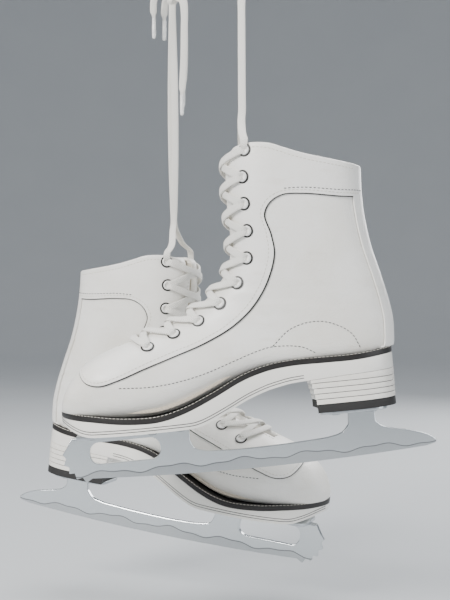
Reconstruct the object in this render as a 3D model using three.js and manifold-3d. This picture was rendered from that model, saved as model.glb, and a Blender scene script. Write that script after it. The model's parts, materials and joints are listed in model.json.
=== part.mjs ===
// A pair of leather figure skates, hung by their laces. Millimetres, +Z up.
//
// Each skate is built once, as a left one, in its own frame: x runs from the back of the heel to the
// toe, +y is the outer side of the foot and z = 0 is the ice under the blade. The right one is its
// mirror. The world origin is the top of the lace, where it lies over its peg.
import * as THREE from 'three';
import { mergeVertices } from 'three/addons/utils/BufferGeometryUtils.js';
import Module from 'manifold-3d';

const wasm = await Module();
wasm.setup();

// ---- driving sizes of one skate ----
const soleLength = 272;
const shaftHeight = 168;        // heel seat to the top of the collar in front
const ballWidth = 94;           // outsole across the ball of the foot
const gap = 0.3;                // between pieces that touch
const seatHeight = 84;          // ice to the heel seat
const upperWall = 2.6;
const liningWall = 3.6;
const stiffenerWall = 1.5;      // heel counter and toe puff
const overlayWall = 1.2;        // facings and back stay
const tongueWall = 4.5;
const insoleThickness = 2.6;
const footbedThickness = 2.4;
const midsoleThickness = 4;
const shankThickness = 1.6;
const shankHalfWidth = 7;
const soleBottomHeight = 40;    // ice to the flat of the outsole under the ball
const heelLength = 64;
const heelLiftThickness = 6;
const plateThickness = 2.6;
const bladeThickness = 4;
const rockerRadius = 2100;
const throatHalfGap = 9;        // half the opening between the facings
const eyeletCount = 10;         // on each side
const eyeletPitch = 21;
const eyeletSetback = 13;       // behind the facing's front edge
const firstEyelet = 31;         // from the top of the front line, along it
const backStayWidth = 9;
const tongueHalfWidth = 25;
const laceWidth = 6;
const laceThickness = 1.8;
const laceFace = 2.9;           // the lace's underside above the upper, over the facing
const screwHeadRadius = 3.6;
const screwHeadHeight = 1.2;
const screwRadius = 1.7;

// ---- driving sizes of the way the pair hangs ----
const leftTilt = THREE.MathUtils.degToRad(5.6);    // toe down
const rightTilt = THREE.MathUtils.degToRad(7.5);
const rightYaw = THREE.MathUtils.degToRad(-18);    // toe towards the front
const skateSpacing = 66;        // each skate's centre from the middle, in y
const strandSpacing = 30;       // each strand from the middle, in x
const strandTopY = 32;
const leftStrandTopZ = -75;
const rightStrandTopZ = -75;
const leftHangZ = -179.3;       // where each skate's lace ends meet
const rightHangZ = -260;
const hangAboveCollar = 30;
const hangHeight = seatHeight + shaftHeight + hangAboveCollar; // above the ice, in a skate's own frame
const leftHangX = 96.6;         // above the skate's centre of mass, as it hangs
const rightHangX = 89.5;
const jointBallRadius = 4.6;
const jointClearance = 0.4;
const knotRadius = 8.5;
const rightStrandSpread = 1.8;  // the right skate's two laces stand this far apart, half way up
const strandSteps = 4;
const crestWidth = 2 * laceWidth + gap; // two laces side by side
const agletLength = 18;
const agletRadius = 1.7;

// The pattern was drawn for these sizes, and is graded to the ones above.
const patternLength = 272;
const patternRise = 168;
const patternWidth = 94;
const gradeX = (x) => x * soleLength / patternLength;
const gradeY = (y) => y * ballWidth / patternWidth;
const gradeZ = (z) => (z <= seatHeight ? z : seatHeight + (z - seatHeight) * shaftHeight / patternRise);
const pattern = (points) => points.map(([x, z]) => [gradeX(x), gradeZ(z)]);

// ---- solids ----
function solidOf(geometry) {
  const bare = geometry.clone();
  bare.deleteAttribute('normal');
  bare.deleteAttribute('uv');
  const merged = mergeVertices(bare, 1e-4);
  const mesh = new wasm.Mesh({
    numProp: 3,
    vertProperties: new Float32Array(merged.attributes.position.array),
    triVerts: new Uint32Array(merged.index.array),
  });
  return new wasm.Manifold(mesh);
}

function geometryOf(solid) {
  const mesh = solid.getMesh();
  const geometry = new THREE.BufferGeometry();
  geometry.setAttribute('position', new THREE.BufferAttribute(mesh.vertProperties, 3));
  geometry.setIndex(new THREE.BufferAttribute(mesh.triVerts, 1));
  geometry.computeVertexNormals();
  return geometry;
}

const common = (first, ...rest) => rest.reduce((solid, other) => solid.intersect(other), first);
const cutBy = (first, ...rest) => rest.reduce((solid, other) => solid.subtract(other), first);

// An outline in x and z, drawn out along y.
function sidePrism(points, y0, y1, holes = []) {
  const shape = new THREE.Shape(points.map(([x, z]) => new THREE.Vector2(x, z)));
  for (const hole of holes) {
    shape.holes.push(new THREE.Path(hole.map(([x, z]) => new THREE.Vector2(x, z))));
  }
  const geometry = new THREE.ExtrudeGeometry(shape, { depth: y1 - y0, bevelEnabled: false });
  geometry.rotateX(Math.PI / 2);
  geometry.translate(0, y1, 0);
  return solidOf(geometry);
}

// An outline in x and y, drawn up along z.
function planPrism(points, z0, z1) {
  const shape = new THREE.Shape(points.map(([x, y]) => new THREE.Vector2(x, y)));
  const geometry = new THREE.ExtrudeGeometry(shape, { depth: z1 - z0, bevelEnabled: false });
  geometry.translate(0, 0, z0);
  return solidOf(geometry);
}

function smoothLine(points, steps) {
  const curve = new THREE.CatmullRomCurve3(points.map(([x, z]) => new THREE.Vector3(x, 0, z)));
  return curve.getSpacedPoints(steps).map((p) => [p.x, p.z]);
}

function ball(radius, x, y, z) {
  return solidOf(new THREE.SphereGeometry(radius, 8, 6).translate(x, y, z));
}

// ---- the last: the foot's shape that every layer of the boot follows ----
// Sections run from the front line to the back line. Each has a half width on the outer and the
// inner side, and the shift of its middle towards the outer side.
const frontLine = pattern([
  [100, 280], [112, 243], [114.5, 212], [114.5, 184], [118, 162], [129, 145], [144, 132], [158, 123.5],
  [169, 119], [179, 115.5], [189, 112.5], [199, 109.5], [210, 106], [222, 102], [234, 97], [245, 90],
  [254, 80], [260, 68], [262, 60],
]);
const backLine = pattern([
  [6, 252], [9.5, 222], [10, 196], [7, 168], [1, 142], [-3.5, 120], [-5, 101], [0, 80],
  [28, 76], [60, 76], [90, 75], [118, 69], [145, 58], [168, 49], [192, 46], [214, 46],
  [234, 48], [249, 51], [257, 54],
]);
const sectionWidths = [
  [35, 35, 0], [36, 36, 0], [35.5, 35.5, 0], [34, 34, 0], [32.5, 32.5, 0], [31.5, 31, 0], [31, 30.5, 0],
  [31, 30, 0], [31.5, 30, 0], [32, 30, 0], [33, 31, 0], [36, 33, 0.5], [40.5, 37.5, 1], [44, 41.5, 1],
  [45, 42.5, 0.5], [42.5, 41, -1], [37, 36.5, -3], [28, 28, -4.5], [15, 15, -5],
];
const frontSquareness = 2.8;
const backSquareness = 2.5;
const stationSteps = 12;
const aroundSteps = 12;
const sectionStep = (2 * Math.PI) / aroundSteps;
const lineCurve = (points) => new THREE.CatmullRomCurve3(points.map(([x, z]) => new THREE.Vector3(x, 0, z)));
const frontCurve = lineCurve(frontLine);
const backCurve = lineCurve(backLine);
const widthCurve = new THREE.CatmullRomCurve3(
  sectionWidths.map((widths) => new THREE.Vector3(...widths.map(gradeY))),
);

// A point of a side line, moved out by the offset, square to the line.
function offsetLinePoint(curve, t, offset, side) {
  const tangent = curve.getTangent(t);
  const point = curve.getPoint(t);
  return new THREE.Vector3(point.x - side * tangent.z * offset, 0, point.z + side * tangent.x * offset);
}

function lastSection(t, offset) {
  const front = offsetLinePoint(frontCurve, t, offset, 1);
  const back = offsetLinePoint(backCurve, t, offset, -1);
  const [outer, inner, shift] = widthCurve.getPoint(t).toArray();
  const axis = front.clone().sub(back);
  const half = axis.length() / 2;
  const middle = front.clone().add(back).multiplyScalar(0.5);
  return { middle, axis: axis.normalize(), half, outer: outer + offset, inner: inner + offset, shift };
}

function sectionPoint(section, angle) {
  const c = Math.cos(angle);
  const s = Math.sin(angle);
  const power = 2 / (c >= 0 ? frontSquareness : backSquareness);
  const along = Math.sign(c) * Math.abs(c) ** power * section.half;
  const width = s >= 0 ? section.outer : section.inner;
  const point = section.middle.clone().addScaledVector(section.axis, along);
  point.y = section.shift + Math.sign(s) * Math.abs(s) ** power * width;
  return point;
}

function lastSolid(offset) {
  const sections = [];
  for (let i = 0; i <= stationSteps; i += 1) {
    const t = i / stationSteps;
    const section = lastSection(t, offset);
    const plain = lastSection(t, 0);
    const sound = section.axis.dot(plain.axis) > 0 && section.half > 2;
    if (sound && section.outer > 4) {
      sections.push(section);
    }
  }
  const positions = [];
  const index = [];
  for (const section of sections) {
    for (let k = 0; k < aroundSteps; k += 1) {
      positions.push(...sectionPoint(section, k * sectionStep).toArray());
    }
  }
  for (let i = 0; i < sections.length - 1; i += 1) {
    for (let k = 0; k < aroundSteps; k += 1) {
      const a = i * aroundSteps + k;
      const b = i * aroundSteps + ((k + 1) % aroundSteps);
      index.push(a, a + aroundSteps, b, b, a + aroundSteps, b + aroundSteps);
    }
  }
  const lastRing = (sections.length - 1) * aroundSteps;
  for (let k = 1; k < aroundSteps - 1; k += 1) {
    index.push(0, k, k + 1);
    index.push(lastRing, lastRing + k + 1, lastRing + k);
  }
  const geometry = new THREE.BufferGeometry();
  geometry.setAttribute('position', new THREE.BufferAttribute(new Float32Array(positions), 3));
  geometry.setIndex(index);
  const solid = solidOf(geometry);
  if (solid.volume() < 0) {
    throw new Error('the last is inside out');
  }
  return solid;
}

const layer = (outerOffset, innerOffset) => lastSolid(outerOffset).subtract(lastSolid(innerOffset));

// ---- lines that trim the boot ----
const wide = 90;                // further than any boot is wide
const collarLine = pattern([
  [140, 228], [111, 241], [107, 250], [99, 252.5], [81, 250.5], [70, 246], [55, 240], [33, 233.5],
  [11, 228.5], [-25, 225],
]);
const soleTopLine = pattern([
  [290, 64], [262, 60], [236, 56.5], [210, 53], [184, 52.2], [164, 56.5], [140, 66], [117, 76.5], [97, 82],
  [78, 84], [55, 84], [29, 84], [-2, 86.5], [-30, 88],
]);
const soleTop = smoothLine(soleTopLine, 13);
const lifted = (line, dz) => line.map(([x, z]) => [x, z + dz]);
const lower = (line, z) => [...line, [line.at(-1)[0], z], [line[0][0], z]];
const aboveCollar = (dz) => sidePrism(lower(lifted(collarLine, dz), 340), -wide, wide);
const belowSole = (dz) => sidePrism(lower(lifted(soleTop, dz), -20), -wide, wide);
const throatZone = pattern([
  [84, 320], [84, 178], [98, 143], [124, 113], [154, 97], [190, 86], [209, 96], [213, 130], [160, 180],
  [150, 320],
]);
const throat = (halfGap) => sidePrism(throatZone, -halfGap, halfGap);
const bootTrim = (solid, halfGap, collarLift) => cutBy(solid, throat(halfGap), aboveCollar(collarLift));

// ---- the boot ----
const insideUpper = -upperWall - gap;
const insideLining = insideUpper - liningWall;
const footbedBottom = insoleThickness + 2 * gap;

const counterZone = (grow) => sidePrism(
  pattern([[-30, 70 - grow], [92 + grow, 70 - grow], [92 + grow, 92], [74 + grow, 109 + grow],
    [52, 113 + grow], [-30, 122 + grow]]),
  -wide,
  wide,
);
const puffZone = (grow) => sidePrism(
  pattern([[222 - grow, 40], [222 - grow, 130], [300, 130], [300, 40]]),
  -wide,
  wide,
);

function stiffener(zone) {
  return cutBy(common(layer(insideUpper, insideUpper - stiffenerWall), zone(0)), belowSole(gap));
}

function stiffenerPocket(zone) {
  return common(layer(insideUpper + 2 * gap, insideUpper - stiffenerWall - gap), zone(gap + 0.2));
}

function upper() {
  return cutBy(bootTrim(layer(0, -upperWall), throatHalfGap, 0), belowSole(0));
}

function lining() {
  const wall = bootTrim(layer(insideUpper, insideLining), throatHalfGap + 1, -1.5);
  return cutBy(wall, belowSole(footbedBottom), stiffenerPocket(counterZone), stiffenerPocket(puffZone));
}

// The facing is the eyelet band and the collar band, cut as one piece on each side.
const facingEdge = pattern([
  [-20, 204], [30, 206], [58, 210.5], [73, 211], [83, 206], [88, 197], [84.5, 181], [83.5, 166], [91, 145],
  [104, 127], [121, 113.5], [144, 103], [168, 95.5], [191, 88.5], [211, 82], [226, 79], [236, 82], [241, 90],
  [238, 101], [240, 118],
]);
const facingZone = [...facingEdge, [gradeX(240), 400], [gradeX(-20), 400]];

function backStayZone(reach) {
  const inside = backCurve.getPoints(18).slice(0, 8).map((p) => [p.x + reach, p.z]);
  return sidePrism([[-40, 400], [-40, 70], ...inside.reverse(), [inside.at(-1)[0], 400]], -wide, wide);
}

function facing(side) {
  const half = sidePrism(facingZone, side > 0 ? gap : -wide, side > 0 ? wide : -gap);
  const wall = common(layer(gap + overlayWall, gap), half);
  return cutBy(bootTrim(wall, throatHalfGap, 0), backStayZone(backStayWidth + gap));
}

function backStay() {
  const wall = common(layer(gap + overlayWall, gap), backStayZone(backStayWidth));
  return cutBy(wall, aboveCollar(0), belowSole(gap));
}

const tongueZone = pattern([
  [78, 330], [78, 175], [90, 140], [118, 106], [150, 90], [196, 78], [216, 90], [216, 130], [160, 180],
  [150, 330],
]);

function tongue() {
  const outside = insideLining - gap;
  const wall = common(
    layer(outside, outside - tongueWall),
    sidePrism(tongueZone, -gradeY(tongueHalfWidth), gradeY(tongueHalfWidth)),
  );
  return wall.subtract(aboveCollar(1.5));
}

function insole() {
  const slab = sidePrism(
    [...lifted(soleTop, gap), ...lifted(soleTop, gap + insoleThickness).reverse()],
    -wide,
    wide,
  );
  return cutBy(common(lastSolid(insideUpper), slab), stiffenerPocket(counterZone), stiffenerPocket(puffZone));
}

function footbed() {
  const slab = sidePrism(
    [...lifted(soleTop, footbedBottom), ...lifted(soleTop, footbedBottom + footbedThickness).reverse()],
    -wide,
    wide,
  );
  return common(lastSolid(insideLining - gap), slab);
}

// ---- sole and heel ----
const solePlan = [
  [-3, 0], [2, 19], [18, 29.5], [45, 31.5], [75, 30.5], [105, 32], [140, 40], [175, 47], [205, 47.5],
  [232, 40], [252, 25], [263, -4], [257, -27], [238, -40], [205, -46], [175, -45], [140, -38], [105, -30],
  [75, -28.5], [45, -30], [18, -28.5], [2, -19],
];
const soleOutline = new THREE.CatmullRomCurve3(
  solePlan.map(([x, y]) => new THREE.Vector3(gradeX(x), gradeY(y), 0)),
  true,
).getSpacedPoints(28).slice(0, 28).map((p) => [p.x, p.y]);
const solePlanSolid = planPrism(soleOutline, 0, 120);
const outsoleTop = lifted(soleTop, -midsoleThickness - 2 * gap);
const heelTopLine = pattern([[67, 67], [40, 68.5], [-30, 71]]);
const soleBottom = [
  ...pattern([[290, 58], [262, 50.5], [250, 44]]),
  [gradeX(240), soleBottomHeight],
  [gradeX(156), soleBottomHeight],
  ...pattern([[146, 43], [131, 49.5], [115, 57], [99, 62.5], [82, 66]]),
  ...heelTopLine,
];

function midsole() {
  const slab = sidePrism(
    [...lifted(soleTop, -gap - midsoleThickness), ...lifted(soleTop, -gap).reverse()],
    -wide,
    wide,
  );
  return cutBy(common(solePlanSolid, slab), shankBand(gap, gap));
}

// The shank lies this far under the sole line; its slot in the midsole is open at the top.
const shankDepth = gap + 1;
const shankSpan = [gradeX(34), gradeX(150)];

function shankBand(grow, top) {
  const bottom = -shankDepth - shankThickness - grow;
  const line = smoothLine(soleTopLine, 60);
  const span = line.filter(([x]) => x > shankSpan[0] - grow && x < shankSpan[1] + grow);
  const band = [...lifted(span, top), ...lifted(span, bottom).reverse()];
  return sidePrism(band, -shankHalfWidth - grow, shankHalfWidth + grow);
}

function outsole() {
  const slab = sidePrism([...outsoleTop, ...[...soleBottom].reverse()], -wide, wide);
  return common(solePlanSolid, slab);
}

const heelBottom = soleBottomHeight + 1;
const heelLiftTop = heelBottom + heelLiftThickness;
const heelBreast = 2.5;         // how far the breast leans in towards the bottom

function heelBlock() {
  const side = [
    ...lifted(heelTopLine.slice(0, 2), -gap).map(([x, z]) => [Math.min(x, heelLength + 2), z]),
    [-30, heelTopLine[2][1] - gap],
    [-30, heelLiftTop + gap],
    [heelLength - heelBreast, heelLiftTop + gap],
  ];
  return common(solePlanSolid, sidePrism(side, -wide, wide));
}

function heelLift() {
  const breast = heelLength - heelBreast;
  const side = [[-30, heelBottom], [breast, heelBottom], [breast, heelLiftTop], [-30, heelLiftTop]];
  return common(solePlanSolid, sidePrism(side, -wide, wide));
}

// ---- blade ----
const solePlateTop = soleBottomHeight - gap;
const heelPlateTop = heelBottom - gap;

function roundedPlan(x0, x1, halfBack, halfFront, corner) {
  const shape = new THREE.Shape();
  shape.moveTo(x0 + corner, -halfBack);
  shape.lineTo(x1 - corner, -halfFront);
  shape.quadraticCurveTo(x1, -halfFront, x1, -halfFront + corner);
  shape.lineTo(x1, halfFront - corner);
  shape.quadraticCurveTo(x1, halfFront, x1 - corner, halfFront);
  shape.lineTo(x0 + corner, halfBack);
  shape.quadraticCurveTo(x0, halfBack, x0, halfBack - corner);
  shape.lineTo(x0, -halfBack + corner);
  shape.quadraticCurveTo(x0, -halfBack, x0 + corner, -halfBack);
  return shape.getPoints(4).slice(0, -1).map((p) => [p.x, p.y]);
}

const solePlateSpan = [gradeX(157), gradeX(251)];
const heelPlateSpan = [gradeX(6), gradeX(59)];
const screwPlaces = [
  { name: 'sole_plate_screw_front', x: solePlateSpan[1] - 12, y: 13, top: solePlateTop, into: 7 },
  { name: 'sole_plate_screw_rear', x: solePlateSpan[0] + 34, y: 19, top: solePlateTop, into: 7 },
  { name: 'heel_plate_screw_outer', x: heelPlateSpan[1] - 12, y: 13, top: heelPlateTop, into: 10 },
  { name: 'heel_plate_screw_inner', x: heelPlateSpan[0] + 12, y: -13, top: heelPlateTop, into: 10 },
];

function screwHole(place, radius) {
  const hole = new THREE.CylinderGeometry(radius, radius, 40, 8).rotateX(Math.PI / 2);
  return solidOf(hole.translate(place.x, place.y, place.top));
}

function plate(span, halfBack, halfFront, top, name) {
  const solid = planPrism(roundedPlan(...span, halfBack, halfFront, 10), top - plateThickness, top);
  const own = screwPlaces.filter((place) => place.name.startsWith(name));
  return own.reduce((left, place) => left.subtract(screwHole(place, screwRadius + gap)), solid);
}

// A pan-head screw, its head under the plate and its shank up into the sole.
function screw(place) {
  const headTop = place.top - plateThickness - gap;
  const profile = [
    [0, headTop - screwHeadHeight], [screwHeadRadius - 1, headTop - screwHeadHeight],
    [screwHeadRadius, headTop - 0.4], [screwHeadRadius, headTop], [screwRadius, headTop],
    [screwRadius, place.top + place.into - 2], [0, place.top + place.into],
  ].map(([r, z]) => new THREE.Vector2(r, z));
  return solidOf(new THREE.LatheGeometry(profile, 8).rotateX(Math.PI / 2).translate(place.x, place.y, 0));
}

// The blade was drawn with its legs ending at this height, and is graded to where the plate is.
const patternLegTop = 36.8;
const soleLegTop = solePlateTop - plateThickness - gap;
const gradeBlade = (z) => z * soleLegTop / patternLegTop;
const rocker = (x) => (x - gradeX(112)) ** 2 / (2 * rockerRadius);

function runner() {
  const heelLegTop = heelPlateTop - plateThickness - gap;
  const edgeSteps = 12;
  const bottom = [];
  for (let i = 0; i <= edgeSteps; i += 1) {
    const x = THREE.MathUtils.lerp(gradeX(-22), gradeX(243), i / edgeSteps);
    bottom.push([x, rocker(x)]);
  }
  const pick = [
    [248, 1], [250.5, 5.5], [255.5, 4.5], [256.5, 9.5], [261, 9.5], [260.5, 14.5], [264.5, 16.5],
    [262.5, 21.5], [265, 25], [261, 30],
  ].map(([x, z]) => [gradeX(x), gradeBlade(z)]);
  const topEdge = smoothRun([
    [163, 27], [160, 20.5], [152, 17.8], [130, 16.2], [100, 16.2], [70, 17.4], [52, 18.8], [42, 21.6],
    [37, 27],
  ], 14);
  const tail = smoothRun([[15, 28], [10, 23.5], [0, 20.6], [-14, 17.4], [-26, 13], [-31.5, 9]], 8);
  const outline = [
    ...bottom,
    ...pick,
    [gradeX(257), soleLegTop],
    [gradeX(163), soleLegTop],
    ...topEdge,
    [gradeX(36), heelLegTop],
    [gradeX(15), heelLegTop],
    ...tail,
    [gradeX(-28), rocker(gradeX(-22)) + 1.2],
  ];
  const windowHalf = gradeBlade(8.6);
  const window = roundedPlan(gradeX(187), gradeX(243), windowHalf, windowHalf, 7.5)
    .map(([x, z]) => [x, z + gradeBlade(23.6)]);
  return sidePrism(outline, -bladeThickness / 2, bladeThickness / 2, [window]);
}

function smoothRun(points, steps) {
  return smoothLine(points.map(([x, z]) => [gradeX(x), gradeBlade(z)]), steps);
}

// ---- lacing ----
const frontLineLength = frontCurve.getLength();
const frontPlace = (distance) => frontCurve.getUtoTmapping(distance / frontLineLength);
const surfacePoint = (t, angle, offset) => sectionPoint(lastSection(t, offset), angle);

// The angle round a section of a place this far behind the front line.
function setbackAngle(t, setback) {
  const half = lastSection(t, 0).half;
  return Math.acos(((half - setback) / half) ** (frontSquareness / 2));
}

const eyeletDistances = [];
for (let i = 0; i < eyeletCount; i += 1) {
  eyeletDistances.push(firstEyelet + i * eyeletPitch);
}

// A sheet of even thickness over the last, with some cells of its grid left open.
function latticeSolid(rows, columns, isOpen, bottom, thickness) {
  const positions = [];
  const index = [];
  const stride = columns.length;
  const layerSize = rows.length * stride;
  for (const offset of [bottom, bottom + thickness]) {
    for (const t of rows) {
      for (const column of columns) {
        positions.push(...surfacePoint(t, column(t), offset).toArray());
      }
    }
  }
  const quad = (p, q, r, s) => index.push(p, q, r, p, r, s);
  const filled = (i, j) => i >= 0 && j >= 0 && i < rows.length - 1 && j < stride - 1 && !isOpen(i, j);
  for (let i = 0; i < rows.length - 1; i += 1) {
    for (let j = 0; j < stride - 1; j += 1) {
      if (filled(i, j)) {
        const a = i * stride + j;
        const b = a + 1;
        const c = a + stride + 1;
        const d = a + stride;
        const up = layerSize;
        quad(a, b, c, d);
        quad(a + up, d + up, c + up, b + up);
        if (!filled(i - 1, j)) quad(b, a, a + up, b + up);
        if (!filled(i + 1, j)) quad(d, c, c + up, d + up);
        if (!filled(i, j - 1)) quad(a, d, d + up, a + up);
        if (!filled(i, j + 1)) quad(c, b, b + up, c + up);
      }
    }
  }
  const geometry = new THREE.BufferGeometry();
  geometry.setAttribute('position', new THREE.BufferAttribute(new Float32Array(positions), 3));
  geometry.setIndex(index);
  return solidOf(geometry);
}

// The lace zigzags over the facings: as a ladder, one rung to each row of eyelets.
function laceLadder() {
  const rows = eyeletDistances.flatMap((d) => [frontPlace(d - laceWidth / 2), frontPlace(d + laceWidth / 2)]);
  const outer = (t) => setbackAngle(t, eyeletSetback + laceWidth / 2);
  const inner = (t) => setbackAngle(t, eyeletSetback - laceWidth / 2);
  const columns = [
    (t) => -outer(t), (t) => -inner(t), (t) => -inner(t) / 2, () => 0,
    (t) => inner(t) / 2, inner, outer,
  ];
  const isOpen = (i, j) => i % 2 === 1 && j > 0 && j < columns.length - 2;
  return latticeSolid(rows, columns, isOpen, laceFace, laceThickness);
}

function laceTube(points, steps, turn = 0, width = laceWidth) {
  const shape = new THREE.Shape();
  const corners = [[1, 0.4], [0.7, 1], [-0.7, 1], [-1, 0.4], [-1, -0.4], [-0.7, -1], [0.7, -1], [1, -0.4]];
  const c = Math.cos(turn);
  const s = Math.sin(turn);
  corners.forEach(([a, b], i) => {
    const x = a * width / 2;
    const y = b * laceThickness / 2;
    shape[i ? 'lineTo' : 'moveTo'](x * c - y * s, x * s + y * c);
  });
  const curve = new THREE.CatmullRomCurve3(points.map((p) => new THREE.Vector3(...p)));
  return new THREE.ExtrudeGeometry(shape, { steps, bevelEnabled: false, extrudePath: curve });
}

function lacing(hangX) {
  let laces = laceLadder();
  for (const side of [1, -1]) {
    const onFacing = (distance, lift) => {
      const t = frontPlace(distance);
      return surfacePoint(t, side * setbackAngle(t, eyeletSetback), laceFace + lift);
    };
    const start = onFacing(eyeletDistances[0], laceThickness / 2);
    const route = [
      start.toArray(),
      onFacing(eyeletDistances[0] - 13, laceThickness).toArray(),
      [start.x - 2, start.y - side * 2, hangHeight - 25],
      [(start.x + hangX) / 2, side * 13, hangHeight - 16],
      [hangX + 1, side * 4, hangHeight - 5],
      [hangX, side * 1.2, hangHeight],
    ];
    laces = laces.add(solidOf(laceTube(route, 7)));
  }
  const turnClear = ball(jointBallRadius + jointClearance, hangX, 0, hangHeight);
  const boot = lastSolid(2 * gap + overlayWall).subtract(aboveCollar(2));
  return cutBy(laces, turnClear, boot);
}

// ---- colours ----
const finish = (color, roughness, metalness = 0) => ({ color, roughness, metalness });
const whiteLeather = finish(0xf3f1ec, 0.5);
const trimLeather = finish(0xf7f5f1, 0.42);
const liningCloth = finish(0xe6e0d4, 0.9);
const boardFibre = finish(0x9c7d58, 0.85);
const soleLeather = finish(0xeeeae2, 0.4);
const darkWelt = finish(0x1d1b1a, 0.45);
const heelStack = finish(0xf0ece4, 0.38);
const hardRubber = finish(0x2a2a2a, 0.8);
const polishedSteel = finish(0xdfe3e7, 0.15, 1);
const satinSteel = finish(0xb9bdc1, 0.35, 0.9);
const cottonLace = finish(0xfbfaf6, 0.9);
const agletPlastic = finish(0xf2f2f2, 0.25);

function meshOf(name, solid, look) {
  const geometry = solid.isBufferGeometry ? solid : geometryOf(solid);
  const mesh = new THREE.Mesh(geometry, new THREE.MeshStandardMaterial(look));
  mesh.name = name;
  return mesh;
}

// ---- one skate, hung by the point where its lace ends meet ----
const screws = screwPlaces.map((place) => [place.name, screw(place), satinSteel]);
const allScrewHoles = screwPlaces.map((place) => screwHole(place, screwRadius + gap));
const skatePieces = [
  ['upper', upper(), whiteLeather],
  ['facing_outer', facing(1), trimLeather],
  ['facing_inner', facing(-1), trimLeather],
  ['back_stay', backStay(), trimLeather],
  ['tongue', tongue(), whiteLeather],
  ['lining', lining(), liningCloth],
  ['heel_counter', stiffener(counterZone), boardFibre],
  ['toe_puff', stiffener(puffZone), boardFibre],
  ['insole', insole(), boardFibre],
  ['footbed', footbed(), liningCloth],
  ['midsole', midsole(), darkWelt],
  ['shank', shankBand(0, -shankDepth), satinSteel],
  ['outsole', cutBy(outsole(), ...allScrewHoles), soleLeather],
  ['heel_block', cutBy(heelBlock(), ...allScrewHoles), heelStack],
  ['heel_lift', cutBy(heelLift(), ...allScrewHoles), hardRubber],
  ['sole_plate', plate(solePlateSpan, 20, 24, solePlateTop, 'sole_plate'), satinSteel],
  ['heel_plate', plate(heelPlateSpan, 19, 21, heelPlateTop, 'heel_plate'), satinSteel],
  ['runner', runner(), polishedSteel],
  ...screws,
];

function hungSkate(side, hangX, place, turn, tilt) {
  const turned = new THREE.Group();
  turned.position.set(...place);
  turned.rotation.z = turn;
  const tipped = new THREE.Group();
  tipped.rotation.y = tilt;
  const placed = new THREE.Group();
  const mirror = side === 'right' ? -1 : 1;
  placed.scale.y = mirror;
  placed.position.set(-hangX, 0, -hangHeight);
  for (const [name, solid, look] of [...skatePieces, ['lacing', lacing(hangX), cottonLace]]) {
    placed.add(meshOf(`${side}_${name}`, solid, look));
  }
  tipped.add(placed);
  turned.add(tipped);
  return turned;
}

// ---- the pair ----
const pair = new THREE.Group();
const leftHang = [strandSpacing, -skateSpacing, leftHangZ];
const rightHang = [-strandSpacing, skateSpacing, rightHangZ];
const leftTop = [strandSpacing, -strandTopY, leftStrandTopZ];
const rightTop = [-strandSpacing, strandTopY, rightStrandTopZ];
pair.add(hungSkate('left', leftHangX, leftHang, Math.PI, leftTilt));
pair.add(hungSkate('right', rightHangX, rightHang, rightYaw, rightTilt));

// Two flat laces run together from each skate's hanging point to the top. The front one carries the
// round turns that the laces bend at.
function strandPair(side, low, high, spread) {
  const halfStep = (laceThickness + 2 * gap) / 2;
  const route = (dx, dy) => [0, 0.15, 0.5, 0.85, 1].map((s) => [
    low[0] + (high[0] - low[0]) * s + dx * Math.sin(Math.PI * s),
    low[1] + (high[1] - low[1]) * s + dy,
    low[2] + (high[2] - low[2]) * s,
  ]);
  const front = solidOf(laceTube(route(spread, -halfStep), strandSteps));
  const rear = solidOf(laceTube(route(-spread, halfStep), strandSteps));
  const frontWithTurns = front.add(ball(jointBallRadius, ...low)).add(ball(jointBallRadius, ...high));
  const clear = (point) => ball(jointBallRadius + gap, ...point);
  pair.add(meshOf(`${side}_strand_front`, frontWithTurns, cottonLace));
  pair.add(meshOf(`${side}_strand_rear`, cutBy(rear, clear(low), clear(high)), cottonLace));
}

strandPair('left', leftHang, leftTop, 0);
strandPair('right', rightHang, rightTop, rightStrandSpread);

// Over the peg the left skate's two laces lie side by side, as one band, and come down to the knot.
const knotPlace = [rightTop[0], rightTop[1], rightTop[2] + jointBallRadius + jointClearance + knotRadius];
const crestRadius = Math.hypot(strandSpacing, strandTopY);
const crestAngle = Math.atan2(-strandTopY, strandSpacing);

function crestLaces() {
  const at = (reach, z) => [Math.cos(crestAngle) * reach, Math.sin(crestAngle) * reach, z];
  const route = [at(crestRadius, leftTop[2]), at(crestRadius, leftTop[2] + 12)];
  for (let i = 0; i <= 8; i += 1) {
    const turn = (Math.PI * i) / 8;
    route.push(at(crestRadius * Math.cos(turn), -laceThickness / 2 - crestRadius * (1 - Math.sin(turn))));
  }
  route.push(at(-crestRadius, knotPlace[2]));
  const tube = solidOf(laceTube(route, 16, Math.PI / 2 - crestAngle, crestWidth));
  const turnClear = ball(jointBallRadius + jointClearance, ...leftTop);
  return cutBy(tube, turnClear, ball(knotRadius + gap, ...knotPlace));
}

pair.add(meshOf('crest_laces', crestLaces(), cottonLace));
pair.add(meshOf('crest_knot', ball(knotRadius, ...knotPlace), cottonLace));

// The four loose ends hang from the knot, each in its aglet. Routes are from the knot's middle.
const looseEnds = {
  long_front: [[4, -6, 1], [9, -9, -2], [11, -11, -10], [11, -12, -30], [10.5, -12, -60], [9, -12, -88]],
  long_rear: [[4, -2, -1], [8.5, -5, -4], [10.5, -7, -12], [11, -8, -32], [11, -8, -58], [10, -8, -80]],
  short_outer: [[-5, 2, 3], [-11, 4, 5], [-16, 5.5, 0], [-17, 6, -10], [-16.5, 6, -17]],
  short_back: [[-2, 6, 2], [-5, 12, 4], [-7, 17, 0], [-8, 18, -9], [-8, 18, -16]],
};

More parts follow.
